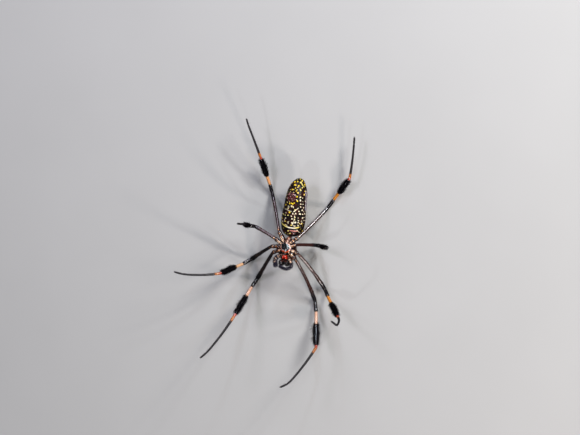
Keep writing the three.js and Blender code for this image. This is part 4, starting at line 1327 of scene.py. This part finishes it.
thorax_finish, tree, shader = finish("front_body_shell", roughness=0.26, coat=0.3, specular=0.4)
shield, ahead, height = (attribute(tree, title) for title in ("plate", "front", "back"))
wave = waver(tree, 0.55, 0.7, detail=3)
shield = plus(tree, shield, wave)
membrane = mix(tree, step(tree, noise(tree, 0.5), 0.4, 0.65), MEMBRANE, MEMBRANE_RED)
fringe = larger(tree, step(tree, ahead, 0.4, 0.8), step(tree, ahead, -1.3, -1.5))
freckles = times(tree, step(tree, noise(tree, 0.4, detail=1), 0.54, 0.58), fringe)
membrane = mix(tree, freckles, membrane, (0.66, 0.38, 0.27))
margin = mix(tree, step(tree, ahead, -0.5, -0.9), MARGIN_TAN, MARGIN_RED)
pale = step(tree, noise(tree, 0.32, detail=2), 0.5, 0.56)
margin = mix(tree, times(tree, pale, step(tree, ahead, -1.3, -0.9)), margin, MARGIN_PALE)
# Pale blue flecks on the breastplate are painted glints of light on its glossy humps; the red flecks are
# its own colour.
inner = mix(tree, step(tree, noise(tree, 0.42, detail=1), 0.53, 0.57), PLATE_BLACK, PLATE_PAINTED_GLINT)
inner = mix(tree, step(tree, noise(tree, 0.5, detail=1), 0.6, 0.64), inner, PLATE_RED)
belly_colour = mix(tree, step(tree, shield, 0.02, 0.08), membrane, margin)
belly_colour = mix(tree, step(tree, shield, 0.3, 0.4), belly_colour, inner)
dark = plus(tree, attribute(tree, "dark"), times(tree, wave, 0.9))
dark = times(tree, step(tree, dark, 0.0, 0.1), step(tree, shield, 0.06, 0.14))
belly_colour = mix(tree, dark, belly_colour, (0.005, 0.005, 0.006))
back_colour = mix(tree, step(tree, noise(tree, 0.9, detail=5), 0.45, 0.6), BACK_DARK, BACK_BROWN)
colour(tree, shader, mix(tree, step(tree, height, -1.95, -2.1), belly_colour, back_colour))
relief = maths(tree, "MULTIPLY_ADD", noise(tree, 0.45, detail=1), 5, times(tree, noise(tree, 0.1), 0.5))
bump(tree, shader, relief, 0.03, 0.7)
settle(thorax, "front_body", thorax_finish, ["cephalothorax"])

# %% [markdown]
# Eight eyes in two rows are set round the front of the head: black glossy beads, each with a clear
# highlight. Only a low-angle view shows them, because the photo looks at the belly.

# %% Eyes
EYES = ((11, -4, 0.19), (15, -27, 0.17), (47, 0, 0.15), (52, -14, 0.15))
eye_lens = mottled("eye_lens", 0.2, (0.004, 0.003, 0.004), (0.02, 0.012, 0.01), roughness=0.05, coat=1.0,
                   specular=0.8)
eyes = bmesh.new()
for side in (-1, 1):
    for turn_at, dip, radius in EYES:
        look = heading(-90 + side * turn_at, dip)
        centre = Vector((look.x * HEAD.half_width, HEAD.centre_y + look.y * HEAD.half_length,
                         HEAD.centre_z + look.z * HEAD.depth))
        egg(eyes, TO_HEAD @ centre, (radius,) * 3, sides=24)
settle(eyes, "eyes", eye_lens)

# %% [markdown]
# The mouth is closed by a small lip, with an endite, the chewing lobe of the palp's coxa, on each
# side of it. In this species they are bright red. The fringe of dark hair on their front edges is not
# modelled.

# %% Mouthparts
LIP_AT, LIP_HALVES = (-0.1, -2.45, -0.75), (0.42, 0.42, 0.88)
LOBE = SimpleNamespace(apart=0.33, shift=-0.14, y=-3.02, z=-0.7, halves=(0.32, 0.72, 0.98), turn=0.1)
BULGE = SimpleNamespace(size=0.09, y=-3.45, reach=0.3)

mouth_finish, tree, shader = finish("mouth_shell", roughness=0.2, coat=0.5)
red = mix(tree, step(tree, noise(tree, 0.5), 0.4, 0.7), (0.36, 0.010, 0.006), (0.66, 0.045, 0.012))
at_mouth = plus(tree, attribute(tree, "front"), times(tree, noise(tree, 0.3), 0.3))
colour(tree, shader, mix(tree, step(tree, at_mouth, -2.42, -2.25), red, (0.012, 0.006, 0.005)))
bump(tree, shader, noise(tree, 0.15), 0.03)
mouth = bmesh.new()
egg(mouth, LIP_AT, LIP_HALVES)
for side in (-1, 1):
    lobe = egg(mouth, (side * LOBE.apart + LOBE.shift, LOBE.y, LOBE.z), LOBE.halves,
               Matrix.Rotation(side * LOBE.turn, 4, "Z"), 40)
    for vertex in lobe:
        vertex.co.x += side * BULGE.size * math.exp(-((vertex.co.y - BULGE.y) / BULGE.reach) ** 2)
store(mouth, front=[vertex.co.y for vertex in mouth.verts])
bmesh.ops.transform(mouth, matrix=TO_HEAD, verts=mouth.verts)
settle(mouth, "mouth", mouth_finish, ["mouthparts"])

# %% [markdown]
# The jaws are two stout black cones that hang from the head towards the belly, swollen near their
# roots, with a thin coat of black bristles. A curved fang is folded inward across the end of each.

# %% Jaws and fangs
JAWS = (("left", -1, 0.28), ("right", 1, -0.08))
JAW_RADII = ((0, 0.3), (0.08, 0.55), (0.25, 0.7), (0.5, 0.72), (0.75, 0.64), (0.92, 0.45), (1.0, 0.12))
JAW = SimpleNamespace(apart=0.76, y=-4.45, bow=-0.22, z=-2.85, length=3.5, wide=1.22,
                      stations=36, hairs=1100)
JAW_HAIRS = ((0.2, 0.6), (0.3, 0.8), (0.009, 0.018))
FANG = SimpleNamespace(apart=0.95, y=-4.2, z=0.42, length=0.95, radius=0.2, hook=0.35)

jaw_finish, tree, shader = finish("jaw_shell", roughness=0.3, coat=0.3, specular=0.4)
tan = step(tree, noise(tree, 0.5, detail=1), 0.68, 0.72)
colour(tree, shader, mix(tree, tan, (0.005, 0.004, 0.005), (0.48, 0.25, 0.16)))
bump(tree, shader, noise(tree, 0.15, detail=3), 0.03, 0.6)
jaw_hair = mottled("jaw_hair", 0.3, (0.004, 0.003, 0.004), (0.018, 0.011, 0.010), roughness=0.4)
fang_shell = mottled("fang_shell", 0.4, (0.012, 0.004, 0.004), (0.16, 0.03, 0.015),
                     roughness=0.15, coat=0.6)
fangs = bmesh.new()
for word, side, spread in JAWS:
    shares = np.linspace(0, 1, JAW.stations)
    centres = [(side * (JAW.apart + spread * math.sin(3 * s)), JAW.y + JAW.bow * math.sin(3.1 * s),
                JAW.z + JAW.length * s) for s in shares]
    jaw_tube = make_tube(centres, read(JAW_RADII, shares), shares, np.full(JAW.stations, JAW.wide),
                         first_side=Vector((0, 1, 0)))
    jaw = bmesh.new()
    sweep(jaw, jaw_tube, 32)
    soften(jaw, 0.5)
    bmesh.ops.transform(jaw, matrix=TO_HEAD, verts=jaw.verts)
    settle(jaw, f"jaw_{word}", jaw_finish, [f"chelicera_{word}"])
    reach = jaw_tube.reach[-1] * rng.uniform(0.35, 0.97, JAW.hairs)
    angle = rng.uniform(0, math.tau, JAW.hairs)
    plant(f"jaw_{word}_coat", SHORT, jaw_tube, reach, angle, draw_sizes(JAW.hairs, *JAW_HAIRS), jaw_hair,
          "shell_dark", turn=TO_HEAD)
    inward = Vector((-side, 0.05, 0.12)).normalized()
    horn(fangs, Vector((side * FANG.apart, FANG.y, FANG.z)), inward, Vector((0, 0.8, -0.6)), FANG.length,
         FANG.radius, FANG.hook, 12)
bmesh.ops.transform(fangs, matrix=TO_HEAD, verts=fangs.verts)
settle(fangs, "fangs", fang_shell)

# %% [markdown]
# The palps look like short legs without a metatarsus: five segments that show as swellings between
# narrow joints. They curl round in front of the jaws. The photo shows them black with a violet
# sheen, the end of the left one thicker because it points at the viewer.

# %% Finish of the palps
PALP_ROOT = (0.05, 0.02, 0.012)
# The faint violet of the palp shell towards its tip is painted sheen.
PALP_STOPS = ((0.0, PALP_ROOT), (0.12, PALP_ROOT), (0.2, (0.02, 0.012, 0.016)),
              (0.45, (0.012, 0.009, 0.016)), (1.0, (0.010, 0.008, 0.018)))
PALP_GLINT_EDGE = 0.03


def palp_finish(name, pale):
    """Dark shell with pale patches, which are painted highlights, on the belly side at a few stretches of
    place.
    """
    material, tree, shader = finish(name, roughness=0.25, coat=0.5, specular=0.6)
    place = attribute(tree, "place")
    windows = [(low, low + PALP_GLINT_EDGE, high, high + PALP_GLINT_EDGE) for low, high in pale]
    # The pale patches on the belly side are painted highlights.
    wavy = plus(tree, attribute(tree, "belly"), times(tree, noise(tree, 0.35, detail=2), 0.8))
    patches = times(tree, in_windows(tree, place, windows), step(tree, wavy, 1.02, 1.1))
    colour(tree, shader, mix(tree, patches, ramp(tree, place, PALP_STOPS), (0.72, 0.46, 0.30)))
    bump(tree, shader, noise(tree, 0.1), 0.02)
    return material


# The violet of the palp bristles is painted sheen.
palp_hair_painted_sheen = mottled("palp_hair_painted_sheen", 0.3, (0.004, 0.003, 0.008), (0.022, 0.015, 0.05), roughness=0.4)
print("finishes", len(bpy.data.materials))

# %% Palps
PALPS = {
    "right": dict(line=((1.55, -3.3, -0.2), (2.3, -3.9, 0.2), (2.85, -4.8, 0.35), (2.2, -5.75, 0.4),
                        (0.9, -6.15, 0.5), (-0.7, -5.65, 0.75)),
                  stem=0.33, tip=0.29, pale=((0.03, 0.07), (0.13, 0.21))),
    "left": dict(line=((-1.2, -2.85, -0.1), (-2.0, -3.38, 0.2), (-2.35, -4.25, 0.25), (-2.1, -5.2, 0.3),
                       (-1.95, -6.0, 0.4)),
                 stem=0.5, tip=0.48, pale=((0.1, 0.15), (0.3, 0.35), (0.45, 0.5), (0.6, 0.66))),
}
STEM_RADII = ((0, 1.1), (0.3, 1.25), (0.55, 1.1))
TIP_RADII = ((0.85, 1.1), (0.95, 0.85), (1, 0.2))
PALP_JOINTS = (0.1, 0.32, 0.47, 0.68)
PALP_STATIONS = 90
PALP_HAIRS = 2200
PALP_SIZES = ((0.2, 0.62), (0.25, 0.65), (0.009, 0.018))

for word, palp in PALPS.items():
    shares = np.linspace(0, 1, PALP_STATIONS)
    table = [(at, palp["stem"] * size) for at, size in STEM_RADII]
    table += [(at, palp["tip"] * size) for at, size in TIP_RADII]
    radii = read(table, shares)
    for joint in PALP_JOINTS:
        radii *= 1 - 0.24 * np.exp(-((shares - joint) / 0.02) ** 2)
        radii *= 1 + 0.06 * np.exp(-((shares - joint + 0.05) / 0.03) ** 2)
    tube = make_tube(smooth_through(palp["line"], PALP_STATIONS), radii, shares)
    mesh = bmesh.new()
    sweep(mesh, tube, 20)
    store_belly(mesh)
    material = palp_finish(f"palp_{word}_shell", palp["pale"])
    settle(mesh, f"palp_{word}", material, [f"palp_{word}"])
    reach = tube.reach[-1] * np.sqrt(rng.uniform(0.03, 1, PALP_HAIRS))
    angle = rng.uniform(0, math.tau, PALP_HAIRS)
    plant(f"palp_{word}_coat", SHORT, tube, reach, angle, draw_sizes(PALP_HAIRS, *PALP_SIZES), palp_hair_painted_sheen,
          "shell_dark", depth=0.03)

# %% [markdown]
# A thin waist joins the two bodies. It swells a little in rings, and pale patches lie on its belly
# side.

# %% Waist
WAIST_LINE = ((0.12, 0.9, -1.3), (0.2, 1.7, -1.45), (0.3, 2.5, -1.95), (0.32, 3.5, -2.6))
WAIST_RADII = ((0, 0.8), (0.35, 0.72), (0.6, 0.55), (1, 0.6))
WAIST_STATIONS = 40
waist_finish, tree, shader = finish("waist_shell", roughness=0.35, coat=0.2)
waist_brown = mix(tree, noise(tree, 0.4), (0.03, 0.012, 0.010), (0.14, 0.05, 0.03))
pale_part = plus(tree, attribute(tree, "belly"), noise(tree, 0.42, detail=1))
waist_brown = mix(tree, step(tree, pale_part, 1.3, 1.38), waist_brown, (0.45, 0.16, 0.09))
colour(tree, shader, mix(tree, step(tree, pale_part, 1.46, 1.52), waist_brown, (0.72, 0.52, 0.40)))
bump(tree, shader, noise(tree, 0.15), 0.03)
shares = np.linspace(0, 1, WAIST_STATIONS)
waist_radii = read(WAIST_RADII, shares) * (1 - 0.14 * np.cos(6 * math.pi * shares))
waist = bmesh.new()
sweep(waist, make_tube(smooth_through(WAIST_LINE, WAIST_STATIONS), waist_radii, shares), 28)
store_belly(waist)
settle(waist, "waist", waist_finish, ["pedicel"])

# %% [markdown]
# Near the end of the belly six spinnerets meet in a rosette inside a low collar: short brown-red
# cones of two rings each, with painted pink highlights on them.

# %% Spinnerets
SPINNERET_PAIRS = ((0.58, 0.46, -9, 0.42, 1.1), (0.0, 0.2, 0, 0.22, 0.9), (-0.55, 0.5, 11, 0.4, 1.0))
CONE_RADII = ((0, 1.0), (0.45, 0.92), (0.5, 0.76), (0.85, 0.6), (0.95, 0.4), (1, 0.1))
CONE_STATIONS = 24
CONE_LEAN = 12
CONE_Z = 0.72
COLLAR = SimpleNamespace(radius=1.12, sides=48, z=0.98, steps=((0.94, 0.1), (0.9, 0.02), (0.94, -0.22)))
ROSETTE_AT = (11.0, -9, -0.9)
ROSETTE_SIZE = 1.22

spinneret_finish, tree, shader = finish("spinneret_shell", roughness=0.3, coat=0.35)
tip_red = step(tree, noise(tree, 0.3, detail=2), 0.42, 0.58)
cone_red = mix(tree, tip_red, (0.012, 0.003, 0.003), (0.15, 0.02, 0.018))
# Painted highlight: pink patches over the brown-red cones.
pink = step(tree, noise(tree, 0.36, detail=2), 0.6, 0.65)
colour(tree, shader, mix(tree, pink, cone_red, (0.58, 0.26, 0.25)))
bump(tree, shader, noise(tree, 0.12), 0.04)
spinnerets = bmesh.new()
egg(spinnerets, (0, 0, 0.5), (1.1, 1.1, 0.46), sides=32)
ring = bmesh.ops.create_circle(spinnerets, segments=COLLAR.sides, radius=COLLAR.radius)["verts"]
bmesh.ops.translate(spinnerets, verts=ring, vec=(0, 0, COLLAR.z))
edges = edges_of(ring)
for grow, rise in COLLAR.steps:
    ring, edges = grow_ring(spinnerets, edges)
    bmesh.ops.scale(spinnerets, verts=ring, vec=(grow, grow, 1))
    bmesh.ops.translate(spinnerets, verts=ring, vec=(0, 0, rise))
shares = np.linspace(0, 1, CONE_STATIONS)
for ahead_of, aside, lean, stout, tall in SPINNERET_PAIRS:
    for side in (-1, 1):
        cone = bmesh.new()
        axis = [(0, 0, tall * share) for share in shares]
        sweep(cone, make_tube(axis, stout * read(CONE_RADII, shares), shares), 20)
        aslant = Matrix.Rotation(math.radians(-side * CONE_LEAN), 4, "Y")
        aslant = aslant @ Matrix.Rotation(math.radians(lean), 4, "X")
        foot = Matrix.Translation((side * aside, -ahead_of, CONE_Z))
        bmesh.ops.transform(cone, matrix=foot @ aslant, verts=cone.verts)
        data = bpy.data.meshes.new("cone")
        cone.to_mesh(data)
        cone.free()
        spinnerets.from_mesh(data)
        bpy.data.meshes.remove(data)
at, out, back = on_belly(*ROSETTE_AT)
rosette = Matrix.Translation(at) @ upright(out, back)
rosette = rosette @ Matrix.Diagonal((ROSETTE_SIZE, ROSETTE_SIZE, 1, 1))
bmesh.ops.transform(spinnerets, matrix=rosette, verts=spinnerets.verts)
settle(spinnerets, "spinnerets", spinneret_finish, ["spinnerets"])

# %% [markdown]
# The back of the front body is silvery, because short flat white hairs cover its dark shell. They
# are left thin along the furrow and the rim, and away from the eyes.

# %% Silvery hair of the back
BACK_TRIES = 9000
SHALLOW = 0.04
BACK_SIZES = ((0.2, 0.42), (0.05, 0.2), (0.014, 0.026))
silver_hair = mottled("silver_hair", 0.8, (0.42, 0.38, 0.34), (0.80, 0.77, 0.72),
                      roughness=0.35, sheen=0.3)
chosen = rng.integers(0, len(carapace_spots), BACK_TRIES)
spots, outs = carapace_spots[chosen], carapace_outs[chosen]
x, y, z = spots.T
on_groove = groove_distance(x, y) < 0.2
on_pit = np.hypot(x / 0.5, (y - PIT_Y) / 0.3) < 1
on_rim_marks = (np.abs(x) > 1.9) & (np.sin(y * 4.2) > 0.35)
on_eyes = (y < -4.35) & (z > -3.3)
kept = ~(on_groove | on_pit | on_rim_marks | on_eyes)
spots, outs = spots[kept], outs[kept]
spots = spots + rng.normal(0, 0.03, spots.shape)
turned = np.array(TO_HEAD.to_3x3())
spots, outs = spots @ turned.T, outs @ turned.T
count = len(spots)
inward = np.stack([-spots[:, 0] * 0.5, -(spots[:, 1] + 0.2), np.zeros(count)], axis=1) + 0.01
bake_at = np.stack([0.5 + spots[:, 0] / 8, 0.5 + (spots[:, 1] - CARAPACE.centre_y) / 8], axis=1)
coat("back_coat", SHORT, spots - outs * SHALLOW, outs, inward, draw_sizes(count, *BACK_SIZES),
     np.zeros(count), bake_at, silver_hair, "carapace")

# %% [markdown]
# The abdomen has only a thin down of scattered short hairs, which shows along its outline.

# %% Down of the abdomen
DOWN_COUNT = 3600
DOWN_SIZES = ((0.2, 0.42), (0.15, 0.5), (0.007, 0.012))
down = mottled("abdomen_hair", 0.8, (0.02, 0.015, 0.01), (0.16, 0.13, 0.09), roughness=0.4, sheen=0.2)
along_at = rng.uniform(0.35, 16.6, DOWN_COUNT)
turn_at = rng.uniform(-180, 180, DOWN_COUNT)
roots, out, lie = abdomen_place(along_at, turn_at)
bake_at = np.stack([along_at / 17, (turn_at + 180) / 360], axis=1)
coat("abdomen_coat", FINE, roots - out * SHALLOW, out, lie, draw_sizes(DOWN_COUNT, *DOWN_SIZES), along_at,
     bake_at, down, "abdomen")
